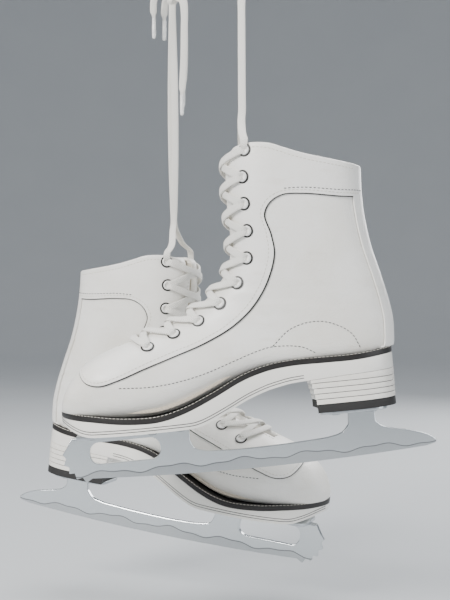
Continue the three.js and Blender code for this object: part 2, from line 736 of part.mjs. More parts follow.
for (const [name, steps] of Object.entries(looseEnds)) {
  const route = steps.map((step) => step.map((v, i) => v + knotPlace[i]));
  const tube = solidOf(laceTube(route, 10));
  pair.add(meshOf(`lace_end_${name}`, tube.subtract(ball(knotRadius + gap, ...knotPlace)), cottonLace));
  const [x, y, z] = route.at(-1);
  const aglet = new THREE.CylinderGeometry(agletRadius, agletRadius * 0.8, agletLength, 8);
  aglet.rotateX(Math.PI / 2).translate(x, y, z - gap - agletLength / 2);
  pair.add(meshOf(`aglet_${name}`, aglet, agletPlastic));
}

export default pair;
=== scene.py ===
# A pair of white figure skates hung by their laces. Metres, +Z up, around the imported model.
import json
import math
import bmesh
import bpy
import numpy as np
from mathutils import Matrix, Vector


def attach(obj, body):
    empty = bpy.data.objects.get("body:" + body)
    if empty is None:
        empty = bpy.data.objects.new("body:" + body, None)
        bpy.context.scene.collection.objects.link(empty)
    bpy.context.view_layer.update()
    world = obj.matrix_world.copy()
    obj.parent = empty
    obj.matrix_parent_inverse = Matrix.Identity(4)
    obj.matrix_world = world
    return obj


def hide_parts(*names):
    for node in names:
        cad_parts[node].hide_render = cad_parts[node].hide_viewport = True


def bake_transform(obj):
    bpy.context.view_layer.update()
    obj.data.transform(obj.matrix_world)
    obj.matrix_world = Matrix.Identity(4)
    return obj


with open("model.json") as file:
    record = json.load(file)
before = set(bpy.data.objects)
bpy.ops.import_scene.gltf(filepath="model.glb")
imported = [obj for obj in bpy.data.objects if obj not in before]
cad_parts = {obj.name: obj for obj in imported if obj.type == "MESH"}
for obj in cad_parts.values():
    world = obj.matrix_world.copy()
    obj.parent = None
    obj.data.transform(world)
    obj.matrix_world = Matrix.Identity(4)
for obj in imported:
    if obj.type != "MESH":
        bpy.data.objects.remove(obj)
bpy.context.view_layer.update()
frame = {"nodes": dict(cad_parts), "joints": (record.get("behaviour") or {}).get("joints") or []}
mm = 0.001
sides = ("left", "right")

# ---- how the pair hangs, as in the model; millimetres until a piece is placed ----
hanging = {
    "tilt": {"left": 5.6, "right": 7.5},        # toe down, degrees
    "turn": {"left": 180.0, "right": -18.0},
    "hangX": {"left": 96.6, "right": 89.5},     # where the lace ends meet, in a skate's own frame
    "hangHeight": 282.0,
    "mirror": {"left": 1, "right": -1},
}
pivots = {joint["name"]: Vector(joint["pos_m"]) / mm for joint in frame["joints"]}


def skatePlace(side):
    turned = Matrix.Rotation(math.radians(hanging["turn"][side]), 4, "Z")
    tipped = Matrix.Rotation(math.radians(hanging["tilt"][side]), 4, "Y")
    back = Matrix.Translation((-hanging["hangX"][side], 0, -hanging["hangHeight"]))
    mirrored = Matrix.Diagonal((1, hanging["mirror"][side], 1, 1))
    hung = Matrix.Translation(pivots[f"{side}_skate_tip"])
    return Matrix.Scale(mm, 4) @ hung @ turned @ tipped @ back @ mirrored


places = {side: skatePlace(side) for side in sides}
worldPlace = Matrix.Scale(mm, 4)

# ---- camera: level, square to the front skate ----
view = {"distance": 0.9, "height": 0.477, "x": 0.0165, "z": -0.3285, "sensor": 36}
cameraData = bpy.data.cameras.new("camera")
cameraData.sensor_fit = "VERTICAL"
cameraData.sensor_height = view["sensor"]
cameraData.lens = view["sensor"] * view["distance"] / view["height"]
camera = bpy.data.objects.new("camera", cameraData)
camera.location = (view["x"], pivots["left_skate_tip"].y * mm - view["distance"], view["z"])
camera.rotation_euler = (math.radians(90), 0, 0)
bpy.context.scene.collection.objects.link(camera)
bpy.context.scene.camera = camera
print("camera set")


# ---- materials ----
class Wire:
    # a socket that takes part in sums
    def __init__(self, shader, socket):
        self.shader, self.socket = shader, socket

    def maths(self, operation, *values):
        return self.shader.node("ShaderNodeMath", dict(enumerate(values)), operation=operation)

    def sine(self):
        return self.maths("SINE", self)

    def __add__(self, other):
        return self.maths("ADD", self, other)

    def __sub__(self, other):
        return self.maths("SUBTRACT", self, other)

    def __rsub__(self, other):
        return self.maths("SUBTRACT", other, self)

    def __mul__(self, other):
        return self.maths("MULTIPLY", self, other)

    def __truediv__(self, other):
        return self.maths("DIVIDE", self, other)

    def __pow__(self, other):
        return self.maths("POWER", self, other)

    __radd__ = __add__
    __rmul__ = __mul__


class Shader:
    def __init__(self, name, **constants):
        self.material = bpy.data.materials.new(name)
        self.material.use_nodes = True
        self.tree = self.material.node_tree
        self.surface = self.tree.nodes["Principled BSDF"]
        for socket, value in constants.items():
            self.surface.inputs[socket.replace("_", " ")].default_value = value

    def node(self, kind, values=None, output=0, stops=None, **settings):
        made = self.tree.nodes.new(kind)
        for setting, value in settings.items():
            setattr(made, setting, value)
        if stops:
            ramp = made.color_ramp
            ramp.elements[0].position, ramp.elements[1].position = stops[0][0], stops[-1][0]
            ramp.elements[0].color, ramp.elements[1].color = stops[0][1], stops[-1][1]
            for place, colour in stops[1:-1]:
                ramp.elements.new(place).color = colour
        for socket, value in (values or {}).items():
            if isinstance(value, Wire):
                self.tree.links.new(value.socket, made.inputs[socket])
            else:
                made.inputs[socket].default_value = value
        return Wire(self, made.outputs[output])

    def coords(self, scale=(1, 1, 1), output="Object"):
        place = self.node("ShaderNodeTexCoord", output=output)
        return self.node("ShaderNodeMapping", {"Vector": place, "Scale": scale})

    def noise(self, vector, scale, detail=3.0, roughness=0.5):
        values = {"Vector": vector, "Scale": scale, "Detail": detail, "Roughness": roughness}
        return self.node("ShaderNodeTexNoise", values)

    def mix(self, factor, first, second):
        values = {0: factor, 6: first, 7: second}
        return self.node("ShaderNodeMix", values, output=2, data_type="RGBA")

    def ramp(self, factor, low, high):
        # 0 below low, 1 above high
        values = {"Value": factor, "From Min": low, "From Max": high}
        return self.node("ShaderNodeMapRange", values)

    def bump(self, height, strength, distance):
        values = {"Height": height, "Strength": strength, "Distance": distance}
        self.feed(Normal=self.node("ShaderNodeBump", values))

    def feed(self, **wires):
        for socket, wire in wires.items():
            self.tree.links.new(wire.socket, self.surface.inputs[socket.replace("_", " ")])


def colour(text):
    # a hex colour in the renderer's linear values
    parts = [int(text[i:i + 2], 16) / 255 for i in (0, 2, 4)]
    return (*[p / 12.92 if p <= 0.04045 else ((p + 0.055) / 1.055) ** 2.4 for p in parts], 1)


def leather(name, base, shade, grain, roughness, coat):
    m = Shader(name, Coat_Roughness=0.3, Specular_IOR_Level=0.5)
    place = m.coords()
    pebbles = m.node("ShaderNodeTexVoronoi", {"Vector": place, "Scale": grain}, feature="SMOOTH_F1")
    pores = m.noise(place, grain * 2.1, 2)
    folds = m.noise(m.coords((30, 30, 90)), 1.0, 4, 0.6)
    clouds = m.noise(place, 26, 4)
    tint = m.ramp(clouds, 0.32, 0.72)
    # painted shade along the folds: where the fold noise runs high, the leather is darkened toward beige and
    # its coat is thinned
    foldShade = m.ramp(folds, 0.58, 0.8) * 0.35
    # the leather's own tone, before the painted fold shade goes on
    unshadedTone = m.mix(tint, colour(base), colour(shade))
    m.feed(Base_Color=m.mix(foldShade, unshadedTone, colour("d9d0c2")))
    m.feed(Roughness=pores * 0.18 + clouds * 0.12 + roughness)
    m.feed(Coat_Weight=coat - foldShade * coat)
    m.bump(pebbles * 0.5 + pores * 0.25 + folds * 1.3, 0.5, 0.0007)
    return m.material


def lacquer(name, base, shade, roughness):
    # enamel over a leather edge, with fine scuffs
    m = Shader(name, Coat_Roughness=0.12)
    place = m.coords()
    swell = m.noise(place, 160, 2)
    scuffs = m.ramp(m.noise(m.coords((120, 120, 900)), 1.0, 5, 0.7), 0.62, 0.8)
    m.feed(Base_Color=m.mix(scuffs * 0.6, colour(base), colour(shade)))
    m.feed(Roughness=scuffs * 0.35 + swell * 0.1 + roughness)
    m.feed(Coat_Weight=0.5 - scuffs * 0.4)
    m.bump(swell * 0.6 - scuffs * 0.3, 0.15, 0.0005)
    return m.material


def steel(name, base, shade, roughness):
    m = Shader(name, Metallic=1.0)
    brushed = m.noise(m.coords((900, 900, 900)), 1.0, 4, 0.65)
    marks = m.ramp(m.noise(m.coords((300, 300, 60)), 1.0, 5, 0.7), 0.64, 0.78)
    m.feed(Base_Color=m.mix(brushed * 0.5 + marks * 0.3, colour(base), colour(shade)))
    m.feed(Roughness=brushed * 0.16 + marks * 0.25 + roughness)
    m.bump(brushed - marks * 0.5, 0.12, 0.0002)
    return m.material


def bladeSteel(name):
    # polished sides, with a wavy satin band where the edge is ground; the UV is in centimetres
    m = Shader(name, Metallic=1.0)
    place = m.node("ShaderNodeSeparateXYZ", {"Vector": m.coords(output="UV")}, output=0)
    height = m.node("ShaderNodeSeparateXYZ", {"Vector": m.coords(output="UV")}, output=1)
    wave = (place * 1.15).sine() * 0.16 + (place * 2.7).sine() * 0.07
    edge = height - wave
    band = 1 - m.ramp(edge, 0.72, 0.78)
    line = m.ramp(edge, 0.70, 0.74) * (1 - m.ramp(edge, 0.78, 0.83))
    brushed = m.noise(m.coords((3, 60, 1), "UV"), 1.0, 4, 0.65)
    fine = m.noise(m.coords((80, 3, 1), "UV"), 1.0, 3, 0.6)
    body = m.mix(brushed * 0.6, colour("e4e8ea"), colour("bcc1c5"))
    ground = m.mix(fine * 0.6, colour("d5d8da"), colour("a4a8ab"))
    both = m.mix(band, body, ground)
    m.feed(Base_Color=m.mix(line * 0.75, both, colour("4a4c4e")))
    m.feed(Roughness=0.16 + brushed * 0.08 + band * 0.2 + line * 0.2)
    m.bump(brushed * (1 - band) + fine * band - line * 1.5, 0.14, 0.0002)
    return m.material


def braid(name, base, shade):
    # flat cotton braid: two families of slanting strands; the UV is in millimetres
    m = Shader(name, Roughness=0.9, Sheen_Weight=0.25, Sheen_Roughness=0.5)
    along = m.node("ShaderNodeSeparateXYZ", {"Vector": m.coords(output="UV")}, output=0)
    across = m.node("ShaderNodeSeparateXYZ", {"Vector": m.coords(output="UV")}, output=1)
    plait = along * 3.6
    fold = (across * 3.1).sine() * 2.2
    ribs = (plait + fold).sine() * 0.5 + 0.5
    cross = (plait * 2 - across * 4.2).sine() * 0.5 + 0.5
    fuzz = m.noise(m.coords((5, 5, 1), "UV"), 1.0, 3, 0.7)
    # painted shade between the strands, where the ribs run low, plus random fuzz
    grooveShadeAndFuzz = (1 - ribs) * 0.55 + fuzz * 0.25
    m.feed(Base_Color=m.mix(grooveShadeAndFuzz, colour(base), colour(shade)))
    m.feed(Roughness=0.78 + fuzz * 0.2)
    m.bump(ribs * 0.8 + cross * 0.25 + fuzz * 0.3, 0.55, 0.0004)
    return m.material


def cloth(name, base, shade, scale):
    m = Shader(name, Sheen_Weight=0.3, Sheen_Roughness=0.6)
    place = m.coords((scale, scale, scale))
    parts = [m.node("ShaderNodeSeparateXYZ", {"Vector": place}, output=i) for i in range(3)]
    threads = (parts[0] + parts[1]).sine() * (parts[2] * 1.1).sine() * 0.5 + 0.5
    fuzz = m.noise(m.coords(), 420, 4, 0.7)
    m.feed(Base_Color=m.mix(threads * 0.4 + fuzz * 0.4, colour(base), colour(shade)))
    m.feed(Roughness=0.8 + fuzz * 0.18)
    m.bump(threads + fuzz * 0.6, 0.4, 0.0003)
    return m.material


def moulded(name, base, shade, roughness, scale, depth):
    # rubber, board and plastic: an even body with fine speckle
    m = Shader(name)
    speckle = m.noise(m.coords(), scale, 4, 0.7)
    wear = m.ramp(m.noise(m.coords(), 45, 4), 0.5, 0.75)
    m.feed(Base_Color=m.mix(speckle * 0.5 + wear * 0.4, colour(base), colour(shade)))
    m.feed(Roughness=speckle * 0.15 + wear * 0.1 + roughness)
    m.bump(speckle, depth, 0.0003)
    return m.material


finishes = {
    "white_leather": leather("bootLeather", "f6f4ef", "ece8df", 950, 0.34, 0.25),
    "trim_leather": leather("trimLeather", "faf8f4", "f1eee7", 1300, 0.27, 0.35),
    "lining": cloth("liningCloth", "eee7da", "cfc5b3", 2600),
    "board": moulded("fibreBoard", "a98b65", "8a6c48", 0.75, 900, 0.3),
    "insole_board": moulded("insoleBoard", "b39672", "94764f", 0.8, 700, 0.3),
    "footbed": cloth("footbedCloth", "ddd3c2", "b8ab97", 2000),
    "welt": moulded("weltLeather", "161413", "2b2725", 0.38, 800, 0.25),
    "outsole": lacquer("soleLacquer", "f4f1ea", "d8d0c2", 0.2),
    "heel_stack": lacquer("heelLacquer", "f2eee6", "d3c9b8", 0.22),
    "heel_lift": moulded("hardRubber", "1e1d1d", "3a3938", 0.62, 1200, 0.5),
    "plate_steel": steel("plateSteel", "d3d7da", "a9aeb2", 0.24),
    "blade_steel": bladeSteel("bladeSteel"),
    "screw_steel": steel("screwSteel", "c3c7ca", "8f9498", 0.3),
    "lace": braid("laceCotton", "fbfaf6", "c9c4b8"),
    "aglet": moulded("agletPlastic", "f3f3f1", "d9d9d6", 0.16, 500, 0.08),
}
darkThread = braid("darkThread", "1d1b1a", "050505")
paleThread = braid("paleThread", "f3f0e8", "b9b2a4")
darkPiping = moulded("darkPiping", "151312", "2c2927", 0.3, 1000, 0.15)
whiteEnamel = moulded("eyeletEnamel", "f4f4f2", "dcdad6", 0.12, 400, 0.05)
# a near-black material for the disc in each eyelet's bore: a painted shadow of the hole's depth
paintedHoleShadow = moulded("eyeletHoleShadow", "0c0b0b", "1a1918", 0.8, 600, 0.2)
print("materials made")


# ---- lines and the last ----
def splineAt(points, t):
    # a smooth line through the points, the same one as in the model
    p = np.asarray(points, float)
    t = np.clip(np.atleast_1d(np.asarray(t, float)), 0, 1)
    spot = t * (len(p) - 1)
    i = np.minimum(spot.astype(int), len(p) - 2)
    w = (spot - i)[:, None]
    if np.allclose(p[0], p[-1]):
        padded = np.vstack([p[-2], p, p[1]])
    else:
        padded = np.vstack([2 * p[0] - p[1], p, 2 * p[-1] - p[-2]])
    p0, p1, p2, p3 = (padded[i + k] for k in range(4))
    d0, d1, d2 = (np.maximum(np.linalg.norm(b - a, axis=1), 1e-9)[:, None] ** 0.5
                  for a, b in ((p0, p1), (p1, p2), (p2, p3)))
    m1 = ((p1 - p0) / d0 - (p2 - p0) / (d0 + d1) + (p2 - p1) / d1) * d1
    m2 = ((p2 - p1) / d1 - (p3 - p1) / (d1 + d2) + (p3 - p2) / d2) * d1
    c2 = -3 * p1 + 3 * p2 - 2 * m1 - m2
    c3 = 2 * p1 - 2 * p2 + m1 + m2
    return p1 + m1 * w + c2 * w ** 2 + c3 * w ** 3


def lengthsAlong(points):
    return np.concatenate([[0], np.cumsum(np.linalg.norm(np.diff(points, axis=0), axis=1))])


def evenly(points, count, fine=40):
    # the smooth line through the points, cut into steps of one length
    dense = splineAt(points, np.linspace(0, 1, fine * len(points)))
    lengths = lengthsAlong(dense)
    wanted = np.linspace(0, lengths[-1], count)
    return np.stack([np.interp(wanted, lengths, dense[:, k]) for k in range(dense.shape[1])], 1)


def unit(vectors):
    return vectors / np.maximum(np.linalg.norm(vectors, axis=-1, keepdims=True), 1e-9)


last = {
    "front": [
        (100, 280), (112, 243), (114.5, 212), (114.5, 184), (118, 162), (129, 145), (144, 132),
        (158, 123.5), (169, 119), (179, 115.5), (189, 112.5), (199, 109.5), (210, 106), (222, 102),
        (234, 97), (245, 90), (254, 80), (260, 68), (262, 60)],
    "back": [
        (6, 252), (9.5, 222), (10, 196), (7, 168), (1, 142), (-3.5, 120), (-5, 101), (0, 80), (28, 76),
        (60, 76), (90, 75), (118, 69), (145, 58), (168, 49), (192, 46), (214, 46), (234, 48), (249, 51),
        (257, 54)],
    "widths": [                                 # outer, inner, shift of the middle
        (35, 35, 0), (36, 36, 0), (35.5, 35.5, 0), (34, 34, 0), (32.5, 32.5, 0), (31.5, 31, 0), (31, 30.5, 0),
        (31, 30, 0), (31.5, 30, 0), (32, 30, 0), (33, 31, 0), (36, 33, 0.5), (40.5, 37.5, 1), (44, 41.5, 1),
        (45, 42.5, 0.5), (42.5, 41, -1), (37, 36.5, -3), (28, 28, -4.5), (15, 15, -5)],
    "frontSquareness": 2.8,
    "backSquareness": 2.5,
    "collar": [
        (140, 228), (111, 241), (107, 250), (99, 252.5), (81, 250.5), (70, 246), (55, 240), (33, 233.5),
        (11, 228.5), (-25, 225)],
    "soleTop": [
        (290, 64), (262, 60), (236, 56.5), (210, 53), (184, 52.2), (164, 56.5), (140, 66), (117, 76.5),
        (97, 82), (78, 84), (55, 84), (29, 84), (-2, 86.5), (-30, 88)],
    "solePlan": [
        (-3, 0), (2, 19), (18, 29.5), (45, 31.5), (75, 30.5), (105, 32), (140, 40), (175, 47), (205, 47.5),
        (232, 40), (252, 25), (263, -4), (257, -27), (238, -40), (205, -46), (175, -45), (140, -38),
        (105, -30), (75, -28.5), (45, -30), (18, -28.5), (2, -19), (-3, 0)],
}
stations = np.linspace(0, 1, 1201)
frontLine, backLine, widthLine = (splineAt(last[k], stations) for k in ("front", "back", "widths"))
frontWay, backWay = (unit(np.gradient(line, axis=0)) for line in (frontLine, backLine))


def lineHeight(points):
    # the height of a side line as a function of x
    dense = splineAt(points, np.linspace(0, 1, 800))
    order = np.argsort(dense[:, 0])
    return lambda x: np.interp(x, dense[order, 0], dense[order, 1])


collarHeight = lineHeight(last["collar"])
soleTopHeight = lineHeight(last["soleTop"])


def at(t, column):
    return np.interp(t, stations, column)


def section(t, offset):
    fx = at(t, frontLine[:, 0]) - at(t, frontWay[:, 1]) * offset
    fz = at(t, frontLine[:, 1]) + at(t, frontWay[:, 0]) * offset
    bx = at(t, backLine[:, 0]) + at(t, backWay[:, 1]) * offset
    bz = at(t, backLine[:, 1]) - at(t, backWay[:, 0]) * offset
    half = np.hypot(fx - bx, fz - bz) / 2
    return (fx + bx) / 2, (fz + bz) / 2, (fx - bx) / 2, (fz - bz) / 2, half


def onLast(t, angle, offset=0.0):
    t, angle, offset = np.broadcast_arrays(*(np.asarray(a, float) for a in (t, angle, offset)))
    mx, mz, ax, az, _ = section(t, offset)
    c, s = np.cos(angle), np.sin(angle)
    power = 2 / np.where(c >= 0, last["frontSquareness"], last["backSquareness"])
    along = np.sign(c) * np.abs(c) ** power
    width = np.where(s >= 0, at(t, widthLine[:, 0]), at(t, widthLine[:, 1])) + offset
    y = at(t, widthLine[:, 2]) + np.sign(s) * np.abs(s) ** power * width
    return np.stack([mx + ax * along, y, mz + az * along], -1)


def outFrom(t, angle, offset=0.0):
    # the way out from the last's surface
    step = 0.004
    down = onLast(np.minimum(t + step, 1), angle, offset) - onLast(np.maximum(t - step, 0), angle, offset)
    across = onLast(t, angle + 0.03, offset) - onLast(t, angle - 0.03, offset)
    out = unit(np.cross(across, down))
    middle = section(t, offset)
    inside = np.stack([middle[0], at(t, widthLine[:, 2]), middle[1]], -1)
    facing = np.sign(np.sum(out * (onLast(t, angle, offset) - inside), -1, keepdims=True))
    return out * np.where(facing == 0, 1, facing)


def spotAt(points, side=1):
    # station and angle of places seen at x, z from the side
    x, z = np.asarray(points, float).T
    low, high = np.zeros(len(x)), np.ones(len(x))

    def miss(t):
        mx, mz, ax, az, _ = section(t, 0)
        return ax * (z - mz) - az * (x - mx)
    first = np.sign(miss(low))
    for _ in range(40):
        t = (low + high) / 2
        same = np.sign(miss(t)) == first
        low, high = np.where(same, t, low), np.where(same, high, t)
    mx, mz, ax, az, half = section(low, 0)
    u = np.clip(((x - mx) * ax + (z - mz) * az) / half ** 2, -1, 1)
    squareness = np.where(u >= 0, last["frontSquareness"], last["backSquareness"])
    return low, side * np.arccos(np.sign(u) * np.abs(u) ** (squareness / 2))


def throatAngle(t, side, halfGap, offset=0.0):
    width = at(t, widthLine[:, 0 if side > 0 else 1]) + offset
    reach = np.clip((halfGap - side * at(t, widthLine[:, 2])) / width, 0, 1)
    return side * np.arcsin(reach ** (last["frontSquareness"] / 2))


def setback(t, distance):
    # the angle of a place this far behind the front line
    half = section(t, 0)[4]
    return np.arccos(((half - distance) / half) ** (last["frontSquareness"] / 2))


def backAngle(t, distance):
    half = section(t, 0)[4]
    return np.pi - np.arccos(np.clip((half - distance) / half, 0, 1) ** (last["backSquareness"] / 2))


def crossing(angleOf, lineOf, low, high, offset=0.0):
    # the last station where a column of the last is still above a side line
    scan = np.linspace(0, 1, 160)[:, None]
    t = low + (high - low) * scan
    p = np.stack([onLast(row, angleOf(row), offset) for row in t])
    above = p[..., 2] > lineOf(p[..., 0])
    found = np.where(above.any(0), len(scan) - 1 - np.argmax(above[::-1], axis=0), 0)
    found = np.minimum(found, len(scan) - 2)
    columns = np.arange(len(low))
    low, high = t[found, columns], t[found + 1, columns]
    for _ in range(36):
        t = (low + high) / 2
        p = onLast(t, angleOf(t), offset)
        above = p[..., 2] > lineOf(p[..., 0])
        low, high = np.where(above, t, low), np.where(above, high, t)
    return (low + high) / 2


frontLengths = lengthsAlong(frontLine)


def frontPlace(distance):
    return np.interp(distance, frontLengths, stations)


# ---- mesh helpers ----
def patch(rows, columns, mapping, uvOf=None):
    # a grid bent to a mapping of u, down, and v, across
    bm = bmesh.new()
    bmesh.ops.create_grid(bm, x_segments=columns, y_segments=rows, size=1.0)
    flat = np.array([v.co for v in bm.verts])
    u, v = (flat[:, 1] + 1) / 2, (flat[:, 0] + 1) / 2
    if uvOf:
        spread = uvOf(u, v)
        layer = bm.loops.layers.uv.new("map")
        for face in bm.faces:
            for loop in face.loops:
                loop[layer].uv = spread[loop.vert.index]
    for vert, place in zip(bm.verts, mapping(u, v)):
        vert.co = place
    return bm


def merged(bm, distance=0.01):
    bmesh.ops.remove_doubles(bm, verts=bm.verts, dist=distance)
    bmesh.ops.dissolve_degenerate(bm, edges=bm.edges, dist=1e-4)
    return bm


def joined(*parts):
    whole = bmesh.new()
    for part in parts:
        mesh = bpy.data.meshes.new("part")
        part.to_mesh(mesh)
        whole.from_mesh(mesh)
        bpy.data.meshes.remove(mesh)
        part.free()
    return whole


def faceOut(bm):
    bmesh.ops.recalc_face_normals(bm, faces=bm.faces)
    middle = sum((v.co for v in bm.verts), Vector()) / len(bm.verts)
    lean = sum(f.normal.dot(f.calc_center_median() - middle) * f.calc_area() for f in bm.faces)
    if lean < 0:
        bmesh.ops.reverse_faces(bm, faces=bm.faces)


def sharpEdges(bm, degrees=45):
    return [e for e in bm.edges if e.is_manifold and e.calc_face_angle(0) > math.radians(degrees)]


def bevelled(bm, width, segments=2, degrees=45):
    bmesh.ops.bevel(bm, geom=sharpEdges(bm, degrees), offset=width, offset_type="OFFSET", affect="EDGES",
                    segments=segments, profile=0.5, material=-1, clamp_overlap=True)
    return bm


def drawn(outline, depth, place, holes=()):
    # a flat outline made solid: place turns (a, b, depth) into a point
    bm = bmesh.new()
    edges = []
    for loop in (outline, *holes):
        ring = [bm.verts.new(place(a, b, 0.0)) for a, b in loop]
        edges += [bm.edges.new((ring[i], ring[i - 1])) for i in range(len(ring))]
    filled = bmesh.ops.triangle_fill(bm, use_beauty=True, edges=edges)
    faces = [g for g in filled["geom"] if isinstance(g, bmesh.types.BMFace)]
    raised = bmesh.ops.extrude_face_region(bm, geom=faces)
    shift = Vector(place(0, 0, depth)) - Vector(place(0, 0, 0.0))
    lifted = [g for g in raised["geom"] if isinstance(g, bmesh.types.BMVert)]
    bmesh.ops.translate(bm, vec=shift, verts=lifted)
    faceOut(bm)
    return bm


def spun(profile, steps=24):
    # a profile of radius and height, turned about z
    bm = bmesh.new()
    verts = [bm.verts.new((r, 0, z)) for r, z in profile]
    edges = [bm.edges.new(pair) for pair in zip(verts, verts[1:])]
    bmesh.ops.spin(bm, geom=verts + edges, cent=(0, 0, 0), axis=(0, 0, 1), angle=math.tau, steps=steps,
                   use_merge=True)
    merged(bm, 1e-4)
    faceOut(bm)
    return bm


def standing(place, out, way=(1, 0, 0)):
    # a matrix that stands z along out at a place
    z = Vector(out).normalized()
    y = z.cross(Vector(way)).normalized()
    return Matrix.Translation(Vector(place)) @ Matrix((y.cross(z), y, z)).transposed().to_4x4()


def copiesOf(template, matrices):
    whole = bmesh.new()
    mesh = bpy.data.meshes.new("part")
    template.to_mesh(mesh)
    for matrix in matrices:
        before = len(whole.verts)
        whole.from_mesh(mesh)
        whole.verts.ensure_lookup_table()
        bmesh.ops.transform(whole, matrix=matrix, verts=whole.verts[before:])
    bpy.data.meshes.remove(mesh)
    return whole


def sweep(path, out, halfWidth, halfThickness, around=12, ends=1.0, flatness=0.62):
    # a band or cord along a path, closed at both ends; out is the way its face looks
    path, out = np.asarray(path, float), np.asarray(out, float)
    way = unit(np.gradient(path, axis=0))
    across = unit(np.cross(way, np.broadcast_to(out, path.shape)))
    face = unit(np.cross(across, way))
    lengths = lengthsAlong(path)
    rows = len(path) + 1
    ends = np.broadcast_to(ends, (len(path),))

    def mapping(u, v):
        row = np.rint(u * rows).astype(int)
        k = np.clip(row - 1, 0, len(path) - 1)
        open_ = np.where((row == 0) | (row == rows), 0.0, 1.0)
        c, s = np.cos(v * math.tau), np.sin(v * math.tau)
        a = np.sign(c) * np.abs(c) ** flatness * halfWidth * ends[k] * open_
        b = np.sign(s) * np.abs(s) ** flatness * halfThickness * open_
        return path[k] + across[k] * a[:, None] + face[k] * b[:, None]

    def uvOf(u, v):
        k = np.clip(np.rint(u * rows).astype(int) - 1, 0, len(path) - 1)
        return np.stack([lengths[k], np.cos(v * math.tau) * halfWidth], 1)
    bm = merged(patch(rows, around, mapping, uvOf), 1e-3)
    faceOut(bm)
    return bm


def piece(name, bm, place, body, slot=None, material=None, replaces=(), wall=0, bevel=0, smooth=35,
          subdivide=0):
    # bm stays as it was, so that it can be placed again
    own = bm.copy()
    bmesh.ops.transform(own, matrix=place, verts=own.verts)
    if place.to_3x3().determinant() < 0:
        bmesh.ops.reverse_faces(own, faces=own.faces)
    mesh = bpy.data.meshes.new(name)
    own.to_mesh(mesh)
    own.free()
    mesh.materials.append(material or finishes[slot])
    made = bpy.data.objects.new(name, mesh)
    bpy.context.scene.collection.objects.link(made)
    for polygon in mesh.polygons:
        polygon.use_smooth = True
    if smooth:
        mesh.set_sharp_from_angle(angle=math.radians(smooth))
    if wall:
        thick = made.modifiers.new("wall", "SOLIDIFY")
        thick.thickness, thick.offset, thick.use_even_offset = wall * mm, -1, True
    if bevel:
        edge = made.modifiers.new("edge", "BEVEL")
        edge.width, edge.segments, edge.limit_method = bevel * mm, 2, "ANGLE"
        edge.angle_limit = math.radians(50)
        edge.harden_normals = True
    if subdivide:
        finer = made.modifiers.new("finer", "SUBSURF")
        finer.levels = finer.render_levels = subdivide
    if replaces:
        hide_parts(*replaces)
    if body:
        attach(made, body)
    return made


def bothSkates(name, bm, slot=None, material=None, replaces=(), **finish):
    return {side: piece(f"{side}_{name}", bm, places[side], f"{side}_skate", slot, material,
                        [f"{side}_{node}" for node in replaces], **finish) for side in sides}


# ---- the boot ----
boot = {
    "upperWall": 2.6,
    "liningWall": 3.4,
    "overlayWall": 1.2,
    "overlayFace": 1.5,         # the facings' outer face above the upper
    "throatHalfGap": 9.0,
    "throatEnd": 210.0,         # x where the throat ends, on the front line
    "backStayWidth": 9.0,
    "backStayFoot": 0.42,       # the station under the heel where the strip ends
    "tongueHalfWidth": 25.0,
    "tongueFace": -6.9,
    "tongueWall": 4.2,
    "rows": 120,
    "columns": 52,
    "creaseDepth": 0.8,
    "piping": 0.75,
}
creases = [  # t and angle of the middle, spread in t, depth: soft folds where the ankle bends
    (0.26, 1.15, 0.016, 0.9), (0.30, 1.35, 0.014, 1.0), (0.34, 1.2, 0.018, 0.8),
]


def creased(points, t, angle):
    # folds at the ankle, which fade out round the sides
    push = np.zeros(len(points))
    for place, side, spread, depth in creases:
        wavy = place + 0.012 * np.sin(angle * 3.1 + place * 40)
        across = np.exp(-((np.abs(angle) - side) / 0.55) ** 2)
        push -= depth * boot["creaseDepth"] * np.exp(-((t - wavy) / spread) ** 2) * across
    return points + outFrom(t, angle) * push[:, None]


throatEndAt = float(np.interp(boot["throatEnd"], frontLine[:, 0], stations))


def lasted(points, soleLift):
    # what would pass below the sole's top is turned in under the foot
    points[:, 2] = np.maximum(points[:, 2], soleTopHeight(points[:, 0]) + soleLift)
    return points


def sidePatch(side, offset, halfGap, collarLift=0.0, soleLift=0.0):
    # one side of a boot layer, from the throat's edge to the back and from the collar to the sole
    rows, columns = boot["rows"], boot["columns"]
    v = np.linspace(0, 1, columns + 1)

    def angleOf(v):
        return lambda t: throatAngle(t, side, halfGap, offset) * (1 - v) + side * np.pi * v
    top = crossing(angleOf(v), lambda x: collarHeight(x) + collarLift, np.zeros(len(v)),
                   np.full(len(v), 0.5), offset)

    def mapping(u, v_):
        k = np.rint(v_ * columns).astype(int)
        t = top[k] + (1 - top[k]) * (1 - u)
        angle = angleOf(v_)(t)
        points = creased(onLast(t, angle, offset), t, angle)
        return lasted(points, soleLift)
    turn = round((throatEndAt - top[0]) / (1 - top[0]) * rows)
    start = top[0] + (1 - top[0]) * turn / rows
    return patch(rows, columns, mapping), start, rows - turn


def vampPatch(offset, halfGap, starts, rows, soleLift=0.0, columns=8):
    # the strip over the toes, between the two sides
    def angleOf(v):
        return lambda t: (throatAngle(t, -1, halfGap, offset) * (1 - v)
                          + throatAngle(t, 1, halfGap, offset) * v)

    def mapping(u, v_):
        start = starts[0] * (1 - v_) + starts[1] * v_
        t = start + (1 - start) * (1 - u)
        return lasted(onLast(t, angleOf(v_)(t), offset), soleLift)
    return patch(rows, columns, mapping)


def bootShell(offset, halfGap, collarLift=0.0, soleLift=0.0):
    inner, innerStart, left = sidePatch(-1, offset, halfGap, collarLift, soleLift)
    outer, outerStart, _ = sidePatch(1, offset, halfGap, collarLift, soleLift)
    strip = vampPatch(offset, halfGap, (innerStart, outerStart), left, soleLift)
    shell = merged(joined(inner, outer, strip), 0.05)
    faceOut(shell)
    return shell


